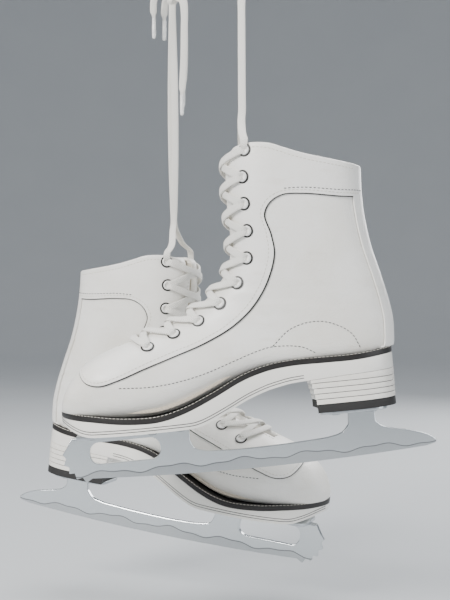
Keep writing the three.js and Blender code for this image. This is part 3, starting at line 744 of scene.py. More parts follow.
bothSkates("upper_leather", bootShell(0.0, boot["throatHalfGap"]), "white_leather", replaces=["upper"],
           wall=boot["upperWall"], bevel=0.5)
lining = bothSkates("lining_padding", bootShell(-2.95, boot["throatHalfGap"] + 1, -0.6, 1.0), "lining",
                    replaces=["lining"], wall=boot["liningWall"], bevel=1.5)
print("upper and lining made")

# the facing: from the collar and the throat's edge out to its sewn edge
facingEdge = [
    (14, 204.8), (30, 206), (58, 210.5), (73, 211), (83, 206), (88, 197), (84.5, 181), (83.5, 166),
    (91, 145), (104, 127), (121, 113.5), (144, 103), (168, 95.5), (191, 88.5), (211, 82), (226, 79),
    (236, 82), (241, 90), (239.5, 97), (238, 101)]
facing = {"corner": 0.30, "foot": 0.90, "alongCollar": 5 / 19, "alongThroat": 15 / 19, "rows": 150,
          "columns": 14}


def facingOuter(s, side, offset):
    # the edge at the collar, then down the throat, then across to the middle
    s = np.asarray(s, float)
    start = backAngle(0.18, boot["backStayWidth"] + 0.3)
    corner = np.full(len(s), throatAngle(0.07, side, boot["throatHalfGap"], offset))
    share = np.clip(s / facing["corner"], 0, 1)
    around = side * start * (1 - share) + corner * share

    def edgeAngle(t):
        return np.where(share < 1, around, throatAngle(t, side, boot["throatHalfGap"], offset))
    onCollar = crossing(edgeAngle, collarHeight, np.zeros(len(s)), np.full(len(s), 0.5), offset)
    down = np.clip((s - facing["corner"]) / (facing["foot"] - facing["corner"]), 0, 1)
    t = onCollar + (throatEndAt - onCollar) * down
    middle = np.clip((s - facing["foot"]) / (1 - facing["foot"]), 0, 1)
    return t, edgeAngle(t) * (1 - middle)


def facingSewn(s, side):
    share = np.interp(s, [0, facing["corner"], facing["foot"], 1],
                      [0, facing["alongCollar"], facing["alongThroat"], 1])
    return spotAt(splineAt(facingEdge, share), side)


def facingPatch(side, offset):
    rows, columns = facing["rows"], facing["columns"]
    s = np.linspace(0, 1, rows + 1)
    t0, a0 = facingOuter(s, side, offset)
    t1, a1 = facingSewn(s, side)

    def mapping(u, v):
        k = np.rint(u * rows).astype(int)
        t = t0[k] * (1 - v) + t1[k] * v
        angle = a0[k] * (1 - v) + a1[k] * v
        return creased(onLast(t, angle, offset), t, angle)
    bm = merged(patch(rows, columns, mapping), 0.02)
    faceOut(bm)
    shaftMiddle = 100
    centres = [f.calc_center_median() for f in bm.faces]
    lean = sum(f.normal.dot(c - Vector((shaftMiddle, 0, c.z))) for f, c in zip(bm.faces, centres))
    if lean < 0:
        bmesh.ops.reverse_faces(bm, faces=bm.faces)
    return bm


def backStayPatch(offset, rows=80, columns=12):
    v = np.linspace(0, 1, columns + 1)

    def angleOf(v):
        return lambda t: np.pi + (np.pi - backAngle(t, boot["backStayWidth"])) * (2 * v - 1)
    top = crossing(angleOf(v), collarHeight, np.zeros(len(v)), np.full(len(v), 0.5), offset)

    def mapping(u, v_):
        k = np.rint(v_ * columns).astype(int)
        t = top[k] + (boot["backStayFoot"] - top[k]) * (1 - u)
        angle = angleOf(v_)(t)
        return lasted(onLast(t, np.where(angle > np.pi, angle - math.tau, angle), offset), 0.3)
    bm = patch(rows, columns, mapping)
    bmesh.ops.recalc_face_normals(bm, faces=bm.faces)
    if sum(f.normal.x for f in bm.faces) > 0:
        bmesh.ops.reverse_faces(bm, faces=bm.faces)
    return bm


for sideName, side in (("facing_outer", 1), ("facing_inner", -1)):
    bothSkates(f"{sideName}_trim", facingPatch(side, boot["overlayFace"]), "trim_leather",
               replaces=[sideName], wall=boot["overlayWall"], bevel=0.35)
bothSkates("back_stay_strip", backStayPatch(boot["overlayFace"]), "trim_leather", replaces=["back_stay"],
           wall=boot["overlayWall"], bevel=0.35)
print("facings and back stay made")


def spacedOut(t, angle, path, count):
    # stations and angles at even steps along a path
    lengths = lengthsAlong(path)
    wanted = np.linspace(0, lengths[-1], count)
    return np.interp(wanted, lengths, t), np.interp(wanted, lengths, angle)


def surfaceRun(points, side, offset, count):
    # an even run along side-view points laid on the boot
    t, angle = spotAt(evenly(points, count * 3), side)
    t, angle = spacedOut(t, angle, onLast(t, angle, offset), count)
    return creased(onLast(t, angle, offset), t, angle)


stitch = {"length": 2.3, "pitch": 3.1, "radius": 0.34}
threadTemplate = bmesh.new()
bmesh.ops.create_uvsphere(threadTemplate, u_segments=6, v_segments=4, radius=1.0)
bmesh.ops.scale(threadTemplate, vec=(stitch["radius"], stitch["radius"], stitch["length"] / 2),
                verts=threadTemplate.verts)


def stitchesOn(path):
    # one small thread for each pitch along a path
    length = lengthsAlong(path)
    count = max(2, int(length[-1] / stitch["pitch"]))
    wanted = (np.arange(count) + 0.5) * length[-1] / count
    spots = np.stack([np.interp(wanted, length, path[:, k]) for k in range(3)], 1)
    ways = unit(np.stack([np.interp(wanted, length, np.gradient(path, axis=0)[:, k]) for k in range(3)], 1))
    return copiesOf(threadTemplate, [standing(p, w, (0.3, 0.9, 0.31)) for p, w in zip(spots, ways)])


def piped(path, out, radius):
    return sweep(path, out, radius, radius, around=8, flatness=1.0)


seams = {
    "collarRow": [(12, 209.5), (30, 210.6), (57, 214.6), (72, 215.3)],
    "vampSeam": [
        (211.4, 76.1), (188.8, 74.7), (169.7, 75.8), (146.6, 80), (123.2, 87.2), (105, 93), (92.1, 95.5),
        (69.6, 93.3), (58.9, 87.5)],
    "counterArc": [(92.1, 95.5), (75.7, 108.2), (52.7, 111.3), (31, 100.8), (24, 88)],
}
pipes, darkRows, paleRows = [], [], []
for side in (1, -1):
    s = np.linspace(0, 1, 500)
    t, angle = facingSewn(s, side)
    t, angle = spacedOut(t, angle, creased(onLast(t, angle, 0.55), t, angle), 260)
    pipes.append(piped(creased(onLast(t, angle, 0.5), t, angle), outFrom(t, angle), boot["piping"]))
    # a row of stitches just inside the sewn edge
    tOut, aOut = facingOuter(s, side, 0)
    tIn, aIn = facingSewn(s, side)
    across = np.linalg.norm(onLast(tOut, aOut) - onLast(tIn, aIn), axis=1)
    share = np.clip(2.6 / np.maximum(across, 6), 0, 0.45)
    t, angle = tIn + (tOut - tIn) * share, aIn + (aOut - aIn) * share
    paleRows.append(stitchesOn(creased(onLast(t, angle, boot["overlayFace"] + 0.1), t, angle)))
    share = 1 - np.clip(3.0 / np.maximum(across, 7), 0, 0.4)
    keep = s < facing["foot"]
    t, angle = (tIn + (tOut - tIn) * share)[keep], (aIn + (aOut - aIn) * share)[keep]
    paleRows.append(stitchesOn(creased(onLast(t, angle, boot["overlayFace"] + 0.1), t, angle)))
    darkRows.append(stitchesOn(surfaceRun(seams["collarRow"], side, boot["overlayFace"] + 0.12, 60)))
    for name in ("vampSeam", "counterArc"):
        darkRows.append(stitchesOn(surfaceRun(seams[name], side, 0.12, 160)))
bothSkates("seam_piping", joined(*pipes), "trim_leather", material=darkPiping)
bothSkates("seam_stitches", joined(*darkRows), "trim_leather", material=darkThread)
bothSkates("edge_stitches", joined(*paleRows), "trim_leather", material=paleThread)

# a rolled binding on the collar and the throat's edges
bindings = []
for side in (1, -1):
    s = np.linspace(0, facing["foot"], 700)
    t, angle = facingOuter(s, side, 0)
    share = np.linspace(0, 1, 40)
    around = side * (np.pi * (1 - share) + backAngle(0.18, boot["backStayWidth"] + 0.3) * share)
    backT = crossing(lambda t_: around, collarHeight, np.zeros(40), np.full(40, 0.5), 0)
    t, angle = np.concatenate([backT[:-1], t]), np.concatenate([around[:-1], angle])
    t, angle = spacedOut(t, angle, onLast(t, angle, -1.1), 240)
    bindings.append(sweep(onLast(t, angle, -1.1), outFrom(t, angle), 1.3, 2.3, around=12, flatness=0.9))
bothSkates("collar_binding", joined(*bindings), "trim_leather")
print("seams made")


# the tongue, a padded strip that stands a little above the collar
def tonguePatch(face, wall, rows=80, columns=24):
    half = boot["tongueHalfWidth"] - 1
    v = np.linspace(0, 1, columns + 1)

    def angleOf(v):
        return lambda t: (throatAngle(t, -1, half, face) * (1 - v) + throatAngle(t, 1, half, face) * v)
    top = crossing(angleOf(v), lambda x: collarHeight(x) + 1.2, np.zeros(len(v)),
                   np.full(len(v), 0.5), face)
    low = throatEndAt + 0.02

    def mapping(u, v_):
        k = np.rint(v_ * columns).astype(int)
        t = top[k] + (low - top[k]) * (1 - u)
        angle = angleOf(v_)(t)
        edge = np.minimum(np.minimum(v_, 1 - v_) * 9, 1) * np.minimum(u * 16, 1)
        edge = edge * np.minimum((1 - u) * 22, 1)
        crown = np.sqrt(np.clip(edge, 0, 1))
        return onLast(t, angle, face - (1 - crown) * wall * 0.45)
    bm = patch(rows, columns, mapping)
    faceOut(bm)
    if sum(f.normal.x for f in bm.faces) < 0:
        bmesh.ops.reverse_faces(bm, faces=bm.faces)
    return bm


tongue = bothSkates("tongue_padding", tonguePatch(boot["tongueFace"], boot["tongueWall"]), "white_leather",
                    replaces=["tongue"], wall=boot["tongueWall"] * 0.62, bevel=1.1)


print("tongue made")


# ---- sole and heel ----
sole = {
    "gap": 0.3,
    "midsole": 4.0,
    "bottomLine": [
        (290, 58), (262, 50.5), (250, 44), (240, 40), (156, 40), (146, 43), (131, 49.5), (115, 57),
        (99, 62.5),
        (82, 66), (67, 67), (40, 68.5), (-30, 71)],
    "heelLength": 64.0,
    "heelBottom": 41.0,
    "liftThickness": 6.0,
    "lifts": 5,
    "breastLean": 2.5,
}
planLine = splineAt(last["solePlan"], np.linspace(0, 1, 900))
toeTip = int(np.argmax(planLine[:, 0]))
heelTip = 0
planX = (planLine[heelTip, 0], planLine[toeTip, 0])


def planEdge(x, side, inset=0.0):
    half = planLine[:toeTip + 1] if side > 0 else planLine[toeTip:][::-1]
    return np.interp(x, np.maximum.accumulate(half[:, 0]), half[:, 1]) - side * inset


bottomLine = np.array(sole["bottomLine"][::-1], float)


def soleBottomHeight(x):
    # straight runs with eased corners, as the outsole is cut
    ease = np.linspace(-5, 5, 11)
    return np.mean([np.interp(x + d, *bottomLine.T) for d in ease], axis=0)


def soleSlab(topOf, bottomOf, x0, x1, inset=0.0, rows=90, columns=20, frontFlat=False, bevel=0.8,
             hollow=0.0):
    # a slab inside the sole's plan, between two heights
    def plan(u, v):
        share = 1 - np.cos(u * math.pi / 2) if frontFlat else (1 - np.cos(u * math.pi)) / 2
        x = x0 + (x1 - x0) * share
        y0, y1 = planEdge(x, -1, inset), planEdge(x, 1, inset)
        middle = (planEdge(x, -1) + planEdge(x, 1)) / 2
        y0, y1 = np.minimum(y0, middle), np.maximum(y1, middle)
        cut = hollow * np.clip(1 - (2 * v - 1) ** 2, 0, 1) * u ** 6
        return x - cut, y0 * (1 - v) + y1 * v

    def mapping(u, v):
        x, y = plan(u, v)
        return np.stack([x, y, topOf(x)], 1)
    bm = merged(patch(rows, columns, mapping), 0.02)
    raised = bmesh.ops.extrude_face_region(bm, geom=list(bm.faces))
    lowered = [g for g in raised["geom"] if isinstance(g, bmesh.types.BMVert)]
    heights = bottomOf(np.array([v.co.x for v in lowered]))
    for vert, height in zip(lowered, heights):
        vert.co.z = height
    faceOut(bm)
    return bevelled(bm, bevel, 3, 50) if bevel else bm


midTop = lambda x: soleTopHeight(x) - sole["gap"]
midBottom = lambda x: soleTopHeight(x) - sole["gap"] - sole["midsole"]
outTop = lambda x: midBottom(x) - sole["gap"]
bothSkates("midsole_welt", soleSlab(midTop, midBottom, *planX, bevel=0.9), "welt", replaces=["midsole"])
bothSkates("outsole_leather", soleSlab(outTop, soleBottomHeight, *planX, bevel=1.1), "outsole",
           replaces=["outsole"])

# the footbed lies inside the boot, over the insole
bed = {"top": 5.5, "bottom": 3.2, "inset": 7.5, "heelEnd": 8, "toeEnd": 9}
bedSlab = soleSlab(lambda x: soleTopHeight(x) + bed["top"], lambda x: soleTopHeight(x) + bed["bottom"],
                   planX[0] + bed["heelEnd"], planX[1] - bed["toeEnd"], inset=bed["inset"], bevel=0.5)
footbed = bothSkates("footbed_padding", bedSlab, "footbed", replaces=["footbed"])
weltRows = []
for side in (1, -1):
    x = np.linspace(planX[0] + 1.5, planX[1] - 2.5, 700)
    rim = np.stack([x, planEdge(x, side, 1.3), midTop(x) + 0.1], 1)
    weltRows.append(stitchesOn(rim))
bothSkates("welt_stitches", joined(*weltRows), "welt", material=paleThread)
edgeLines = []
for side in (1, -1):
    x = evenly([(70, 0), (262.2, 0)], 150)[:, 0]
    for lift, inset in ((2.4, 0.05), (4.4, 0.05)):
        path = np.stack([x, planEdge(x, side, inset), soleBottomHeight(x) + lift], 1)
        path = path[path[:, 2] < outTop(path[:, 0]) - 0.8]
        edgeLines.append(sweep(path, np.tile([0, side, 0.05], (len(path), 1)), 0.3, 0.3, 6, flatness=1.0))
bothSkates("sole_edge_lines", joined(*edgeLines), "welt", material=darkPiping)
print("sole made")

# the heel: leather lifts on a dark core, which shows between them
heel = {
    "foot": sole["heelBottom"] + sole["liftThickness"] + sole["gap"],
    "breastTop": sole["heelLength"] + 1.5,
    "breastLow": sole["heelLength"] - sole["breastLean"],
    "hollow": 3.0,          # how far the front face is cut in
    "groove": 0.56,         # between two lifts
    "taper": 1.5,           # how much narrower the foot of the heel is
    "coreInset": 2.3,
}


def heelTop(x):
    return soleBottomHeight(np.minimum(x, sole["heelLength"] + 2)) - sole["gap"]


def level(height):
    return lambda x: np.full(len(x), height)


def heelSlab(topOf, bottomOf, breast, inset, bevel):
    return soleSlab(topOf, bottomOf, planX[0] + inset, breast, inset, 40, 16, True, bevel, heel["hollow"])


lifts = []
heelTall = float(heelTop(np.array([30.0]))[0]) - heel["foot"]
for k in range(sole["lifts"]):
    low = heel["foot"] + heelTall * k / sole["lifts"]
    high = heel["foot"] + heelTall * (k + 1) / sole["lifts"]
    inset = heel["taper"] * (1 - (k + 0.5) / sole["lifts"])
    breast = heel["breastLow"] + (heel["breastTop"] - heel["breastLow"]) * (k + 0.5) / sole["lifts"]
    topOf = heelTop if k == sole["lifts"] - 1 else level(high - heel["groove"] / 2)
    lifts.append(heelSlab(topOf, level(low + heel["groove"] / 2), breast, inset, 0.55))
bothSkates("heel_lifts", joined(*lifts), "heel_stack", replaces=["heel_block"])
core = heelSlab(lambda x: heelTop(x) - 0.8, level(heel["foot"] + 0.1), heel["breastLow"] - 0.8,
                heel["coreInset"], 0)
bothSkates("heel_core", core, "welt", material=darkPiping)
lift = heelSlab(level(heel["foot"] - sole["gap"]), level(sole["heelBottom"]), heel["breastLow"],
                heel["taper"], 0.8)
bothSkates("heel_top_piece", lift, "heel_lift", replaces=["heel_lift"])
print("heel made")


# ---- blade ----
blade = {
    "thickness": 4.0,
    "plate": 2.6,
    "solePlateTop": 39.7,
    "heelPlateTop": 40.7,
    "solePlate": (157, 251, 20, 24),    # back, front, half width at each
    "heelPlate": (6, 59, 19, 21),
    "plateCorner": 10.0,
    "rockerMiddle": 112.0,
    "rockerRadius": 2100.0,
    "window": (187, 243, 15.0, 32.2, 7.5),
    "pick": [
        (248, 1), (250.5, 5.5), (255.5, 4.5), (256.5, 9.5), (261, 9.5), (260.5, 14.5), (264.5, 16.5),
        (262.5, 21.5), (265, 25), (261, 30)],
    "topEdge": [
        (163, 27), (160, 20.5), (152, 17.8), (130, 16.2), (100, 16.2), (70, 17.4), (52, 18.8), (42, 21.6),
        (37, 27)],
    "tail": [(15, 28), (10, 23.5), (0, 20.6), (-14, 17.4), (-26, 13), (-31.5, 9)],
}


def roundedBox(x0, x1, halfBack, halfFront, corner, steps=7):
    # a four-sided outline with round corners, wider at one end
    outline = []
    corners = [(x1 - corner, halfFront - corner, 0), (x0 + corner, halfBack - corner, 90),
               (x0 + corner, -halfBack + corner, 180), (x1 - corner, -halfFront + corner, 270)]
    for x, y, start in corners:
        for k in range(steps + 1):
            turn = math.radians(start + 90 * k / steps)
            outline.append((x + corner * math.cos(turn), y + corner * math.sin(turn)))
    return outline


def flatUp(height):
    return lambda a, b, depth: (a, b, height + depth)


for name, top in (("solePlate", "solePlateTop"), ("heelPlate", "heelPlateTop")):
    outline = roundedBox(*blade[name], blade["plateCorner"])
    solid = drawn(outline, blade["plate"], flatUp(blade[top] - blade["plate"]))
    node = "sole_plate" if name == "solePlate" else "heel_plate"
    bothSkates(f"{node}_steel", bevelled(solid, 0.6, 3, 60), "plate_steel", replaces=[node], smooth=22)


def rocker(x):
    return (x - blade["rockerMiddle"]) ** 2 / (2 * blade["rockerRadius"])


def runnerOutline():
    soleLeg = blade["solePlateTop"] - blade["plate"] - 0.3
    heelLeg = blade["heelPlateTop"] - blade["plate"] - 0.3
    bottom = [(x, rocker(x)) for x in np.linspace(-22, 243, 60)]
    topEdge = [tuple(p) for p in evenly(blade["topEdge"], 60)]
    tail = [tuple(p) for p in evenly(blade["tail"], 26)]
    heelCurve = [tail[-1], (-31.2, 6.6), (-28, rocker(-22) + 1.2), (-22.5, rocker(-22))]
    heelPoint = [tuple(p) for p in evenly(heelCurve, 10)]
    return [*bottom, *blade["pick"], (257, soleLeg), (163, soleLeg), *topEdge, (36, heelLeg), (15, heelLeg),
            *tail, *heelPoint[1:-1]]


def sideways(a, b, depth):
    return (a, depth - blade["thickness"] / 2, b)


x0, x1, z0, z1, corner = blade["window"]
windowLoop = [(x, z + (z0 + z1) / 2) for x, z in roundedBox(x0, x1, (z1 - z0) / 2, (z1 - z0) / 2, corner)]
runner = drawn(runnerOutline(), blade["thickness"], sideways, [windowLoop])
bevelled(runner, 0.45, 2, 60)
layer = runner.loops.layers.uv.new("map")
for face in runner.faces:
    for loop in face.loops:
        loop[layer].uv = (loop.vert.co.x / 10, loop.vert.co.z / 10)
bothSkates("runner_steel", runner, "blade_steel", replaces=["runner"], smooth=22)

# brazed fillets where the legs meet the plates
fillets = []
for x0, x1, top in ((163, 257, blade["solePlateTop"]), (15, 36, blade["heelPlateTop"])):
    for side in (1, -1):
        z = top - blade["plate"] - 0.7
        path = evenly([(x0 + 1, side * 2.1, z), (x1 - 1, side * 2.1, z)], max(6, int((x1 - x0) / 2)))
        path[:, 2] += np.sin(np.arange(len(path)) * 1.9) * 0.12
        fillets.append(sweep(path, np.tile([0, side, -1], (len(path), 1)), 1.0, 0.9, 10, flatness=1.0))
bothSkates("braze", joined(*fillets), "plate_steel")

screws = {
    "head": 3.6, "height": 1.2, "recess": 1.5,
    "sole": [(239, 13), (239, -13), (191, 19), (191, -19), (169, 14), (169, -14)],
    "heel": [(47, 13), (47, -13), (18, 13), (18, -13)],
}


def screwShape():
    # a pan head with a six-lobed recess, its flat side up
    r, h, hole = screws["head"], screws["height"], screws["recess"]
    profile = [(0, -h + 0.9), (hole - 0.35, -h + 0.8), (hole, -h - 0.02), (r * 0.62, -h),
               (r * 0.86, -h * 0.8), (r, -h * 0.35), (r, 0), (1.6, 0), (1.6, 3.0), (0, 3.4)]
    bm = spun(profile, 36)
    for vert in bm.verts:
        reach = math.hypot(vert.co.x, vert.co.y)
        if reach < hole + 0.05 and vert.co.z < 0:
            turn = math.atan2(vert.co.y, vert.co.x)
            scale = 1 + 0.16 * math.cos(6 * turn)
            vert.co.x, vert.co.y = vert.co.x * scale, vert.co.y * scale
    return bm


screwTemplate = screwShape()
for group, top in (("sole", blade["solePlateTop"]), ("heel", blade["heelPlateTop"])):
    spots = [Matrix.Translation((x, y, top - blade["plate"] - 0.15)) for x, y in screws[group]]
    owned = ["sole_plate_screw_front", "sole_plate_screw_rear"] if group == "sole" else \
        ["heel_plate_screw_outer", "heel_plate_screw_inner"]
    bothSkates(f"{group}_screws", copiesOf(screwTemplate, spots), "screw_steel", replaces=owned)
print("blade made")


# ---- eyelets ----
eyelets = {
    "count": 10, "first": 31.0, "pitch": 21.0, "setback": 13.0,
    "ring": (4.35, 5.35),       # the dark washer, inside and outside
    "bore": 2.3,
    "flange": 4.2,
}


def eyeletShape():
    bore, flange = eyelets["bore"], eyelets["flange"]
    return spun([(bore, -1.2), (bore, 0.5), (bore + 0.25, 0.95), (bore + 0.8, 1.1), (flange - 0.5, 0.85),
                 (flange, 0.3), (flange, 0), (bore + 0.5, -0.1), (bore + 0.4, -1.2), (bore, -1.2)], 28)


def washerShape():
    inside, outside = eyelets["ring"]
    return spun([(inside - 0.5, 0), (inside - 0.5, 0.5), (inside + 0.1, 0.72), (outside - 0.3, 0.6),
                 (outside, 0.2), (outside, 0), (inside - 0.5, 0)], 28)


# a dark disc deep in the bore, which paints the shadow of the hole
def holeShape():
    return spun([(0, -0.9), (eyelets["bore"] + 0.1, -0.9), (eyelets["bore"] + 0.1, -1.3), (0, -1.3)], 20)


eyeletSpots = {}
for side in (1, -1):
    for i in range(eyelets["count"]):
        t = frontPlace(eyelets["first"] + i * eyelets["pitch"])
        angle = side * setback(t, eyelets["setback"])
        eyeletSpots[side, i] = (float(t), float(angle))
eyeletMatrices = []
for (side, i), (t, angle) in eyeletSpots.items():
    place, out = onLast(t, angle, boot["overlayFace"])[()], outFrom(np.array([t]), np.array([angle]))[0]
    eyeletMatrices.append(standing(place.ravel(), out, (0.2, 0.1, 1)))
bothSkates("eyelets", copiesOf(eyeletShape(), eyeletMatrices), "trim_leather", material=whiteEnamel)
bothSkates("eyelet_rings", copiesOf(washerShape(), eyeletMatrices), "trim_leather", material=darkPiping)
# the painted hole shadows, one dark disc in each eyelet
bothSkates("eyelet_hole_shadows", copiesOf(holeShape(), eyeletMatrices), "trim_leather", material=paintedHoleShadow)
print("eyelets made")


# ---- laces; a lace is flat, and its points follow the model's ----
lace = {
    "width": 6.0,
    "thickness": 1.8,
    "face": 2.9,            # underside above the upper, over the facing
    "step": 1.6,
    "layerStep": 1.2,       # each lace of a pair from their middle
    "spread": {"left": 0.0, "right": 1.8},
    "hangTurn": 10.0,       # how far each way a bend takes to turn
    "tops": {"left": pivots["left_lace_swing"], "right": pivots["right_lace_swing"]},
    "hangs": {"left": pivots["left_skate_tip"], "right": pivots["right_skate_tip"]},
}
halfLace, halfThick = lace["width"] / 2, lace["thickness"] / 2


def band(path, out, ends=1.0, around=14):
    return sweep(path, out, halfLace, halfThick, around, ends, 0.62)


def taperFrom(along):
    # a lace is drawn in where it goes through an eyelet
    return 0.5 + 0.5 * np.clip(along / 4.5, 0, 1)


def smoothBand(points, outs):
    # a lace through control points, with the way its face looks at each
    points, outs = np.asarray(points, float), np.asarray(outs, float)
    rough = splineAt(points, np.linspace(0, 1, 12 * len(points)))
    length = lengthsAlong(rough)[-1]
    t = np.linspace(0, 1, max(8, int(length / lace["step"])))
    dense = splineAt(points, t)
    faces = unit(splineAt(outs, t))
    along = lengthsAlong(dense)
    return band(dense, faces, np.minimum(taperFrom(along), taperFrom(along[-1] - along)))


def overBoot(i, j, side, lift):
    # from an eyelet on one side, over the throat, to one on the other side
    (t0, a0), (t1, a1) = eyeletSpots[side, i], eyeletSpots[-side, j]
    face = lace["face"] + halfThick
    rows = [(0.0, a0, -1.0), (0.05, a0 * 0.93, face - 0.5), (0.2, a0 * 0.66, face + 0.1),
            (0.36, a0 * 0.34, face + lift * 0.6), (0.5, 0.0, face + lift),
            (0.64, a1 * 0.34, face + lift * 0.6), (0.8, a1 * 0.66, face + 0.1),
            (0.95, a1 * 0.93, face - 0.5), (1.0, a1, -1.0)]
    t = np.array([t0 + (t1 - t0) * share for share, _, _ in rows])
    angle = np.array([a for _, a, _ in rows])
    offset = np.array([o for _, _, o in rows])
    return smoothBand(onLast(t, angle, offset), outFrom(t, angle, 0))


crossings = []
for i in range(eyelets["count"] - 1):
    crossings.append(overBoot(i, i + 1, 1, 1.9))
    crossings.append(overBoot(i, i + 1, -1, 0.0))
lowest = eyelets["count"] - 1
crossings.append(overBoot(lowest, lowest, 1, 0.0))
bothSkates("lacing_braid", joined(*crossings), "lace", replaces=["lacing"])


def localRiser(side, hangX):
    # from the top eyelet up to where the lace ends meet
    t0, a0 = eyeletSpots[side, 0]
    face = lace["face"]
    spots = [(t0, a0, -1.0), (t0 - 0.004, a0, face)]
    points = [onLast(t, a, o).ravel() for t, a, o in spots]
    start = onLast(t0, a0, face + halfThick).ravel()
    high = hanging["hangHeight"]
    points += [np.array(p) for p in (
        (start[0] - 2, start[1] - side * 1.2, high - 26), (start[0] - 1.5, start[1] - side * 6, high - 21.8),
        ((start[0] + hangX) / 2, side * 13, high - 15.5),
        (hangX + 1, side * 4, high - 5), (hangX, side * lace["layerStep"], high))]
    outs = [outFrom(np.array([t]), np.array([a]))[0] for t, a, _ in spots]
    ways = ((0.1, side, 0.35), (0.05, side * 0.5, 0.9), (0, side * 0.6, 0.8), (0, side, 0.4), (0, side, 0))
    outs += [np.array(o, float) for o in ways]
    return points, outs


def strandPoints(side, which, shares):
    # which is -1 for the front lace of the pair, 1 for the rear one
    low, high = np.array(lace["hangs"][side]), np.array(lace["tops"][side])
    spread = -which * lace["spread"][side]
    layer = which * lace["layerStep"]
    return [low + (high - low) * s + np.array([spread * math.sin(math.pi * s), layer, 0]) for s in shares]


def evenBand(points, outs, taper=False):
    # the finished path is returned too, next to the band
    points = np.asarray(points, float)
    rough = splineAt(points, np.linspace(0, 1, 30 * len(points)))
    lengths = lengthsAlong(rough)
    shares = np.linspace(0, 1, len(rough))
    count = max(12, int(lengths[-1] / lace["step"]))
    t = np.interp(np.linspace(0, lengths[-1], count), lengths, shares)
    dense = splineAt(points, t)
    faces = unit(splineAt(outs, t))
    ends = taperFrom(lengthsAlong(dense)) if taper else 1.0
    return band(dense, faces, ends), dense


def declare(path):
    tuple(path[0] * mm)
    float(lengthsAlong(path)[-1]) * mm
    [tuple(p * mm) for p in path]


knot = {"radius": 8.5, "ball": 4.6, "clearance": 0.4, "size": 1.75, "cord": 2.75}
rightTop, leftTop = np.array(lace["tops"]["right"]), np.array(lace["tops"]["left"])
knotPlace = rightTop + np.array([0, 0, knot["ball"] + knot["clearance"] + knot["radius"]])
for side in sides:
    for which, name in ((-1, "front"), (1, "rear")):
        local, outs = localRiser(-which, hanging["hangX"][side])
        turned = (worldPlace.inverted() @ places[side])
        points = [np.array(turned @ Vector(p)) for p in local]
        faces = [np.array((turned.to_3x3() @ Vector(o)).normalized()) for o in outs]
        points += strandPoints(side, which, (0.15, 0.33, 0.5))
        faces += [np.array((0, which, 0))] * 3
        bm, path = evenBand(points, faces, True)
        made = piece(f"{side}_riser_{name}", bm, worldPlace, None, "lace",
                     replaces=[f"{side}_strand_{name}"])
        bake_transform(made)
        declare(path)

# over the peg the left skate's laces lie side by side, and the right skate's end in the knot
crestRadius = math.hypot(leftTop[0], leftTop[1])
crestWay = np.array([leftTop[0], leftTop[1], 0]) / crestRadius
crestAcross = np.array([-crestWay[1], crestWay[0], 0])
for which, name in ((-1, "front"), (1, "rear")):
    points = strandPoints("left", which, (0.5, 0.67, 0.85)) + strandPoints("left", which, (1.0,))
    faces = [np.array((0, -1.0, 0))] * 4
    beside = crestAcross * (halfLace + 0.15) * which
    points.append(crestWay * crestRadius + beside + np.array([0, 0, leftTop[2] + 14]))
    faces.append(crestWay.copy())
    for k in range(9):
        turn = math.pi * k / 8
        height = -halfThick - crestRadius * (1 - math.sin(turn))
        points.append(crestWay * crestRadius * math.cos(turn) + beside + np.array([0, 0, height]))
        faces.append(crestWay * math.cos(turn) + np.array([0, 0, math.sin(turn)]))
    points.append(knotPlace + beside * 0.5 + np.array([0, 0, 3.0]))
    faces.append(-crestWay)
    bm, path = evenBand(points, faces)
    made = piece(f"crest_lace_{name}", bm, worldPlace, None, "lace",
                 replaces=["crest_laces"] if name == "front" else [])
    top = lace["tops"]["left"]
    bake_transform(made)
    declare(path)
    points = strandPoints("right", which, (0.5, 0.67, 0.85, 0.95)) + [
        rightTop + np.array([0, which * 1.1, 2.0]), knotPlace + np.array([0, which * 1.0, -5.0]),
        knotPlace + np.array([0, which * 0.8, 0])]
    bm, path = evenBand(points, [np.array((0, -1.0, 0))] * 7)
    made = piece(f"right_top_lace_{name}", bm, worldPlace, None, "lace")
    top = lace["tops"]["right"]
    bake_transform(made)
    declare(path)


def knotShape(rows=150, around=16):
    # a trefoil, pulled tight, of a doubled lace
    turn = np.linspace(0, math.tau, rows + 1)
    size = knot["size"]
    path = np.stack([size * (np.sin(turn) + 2 * np.sin(2 * turn)),
                     -size * np.sin(3 * turn) * 1.25,
                     size * (np.cos(turn) - 2 * np.cos(2 * turn))], 1)
    way = unit(np.stack([np.gradient(path[:, k], turn) for k in range(3)], 1))
    way[0] = way[-1] = unit(path[1] - path[-2])
    out = unit(path - path.mean(0))
    across = unit(np.cross(way, out))
    face = unit(np.cross(across, way))
    lengths = lengthsAlong(path)

    def mapping(u, v):
        k = np.rint(u * rows).astype(int)
        c, s = np.cos(v * math.tau), np.sin(v * math.tau)
        return (path[k] + across[k] * (c * knot["cord"] * 1.05)[:, None]
                + face[k] * (s * knot["cord"] * 0.78)[:, None])

    def uvOf(u, v):
        return np.stack([u * lengths[-1], np.cos(v * math.tau) * halfLace], 1)
    bm = merged(patch(rows, around, mapping, uvOf), 0.02)
    faceOut(bm)
    return bm


piece("knot", knotShape(), worldPlace @ Matrix.Translation(Vector(knotPlace)), "crest", "lace",
      replaces=["crest_knot"])

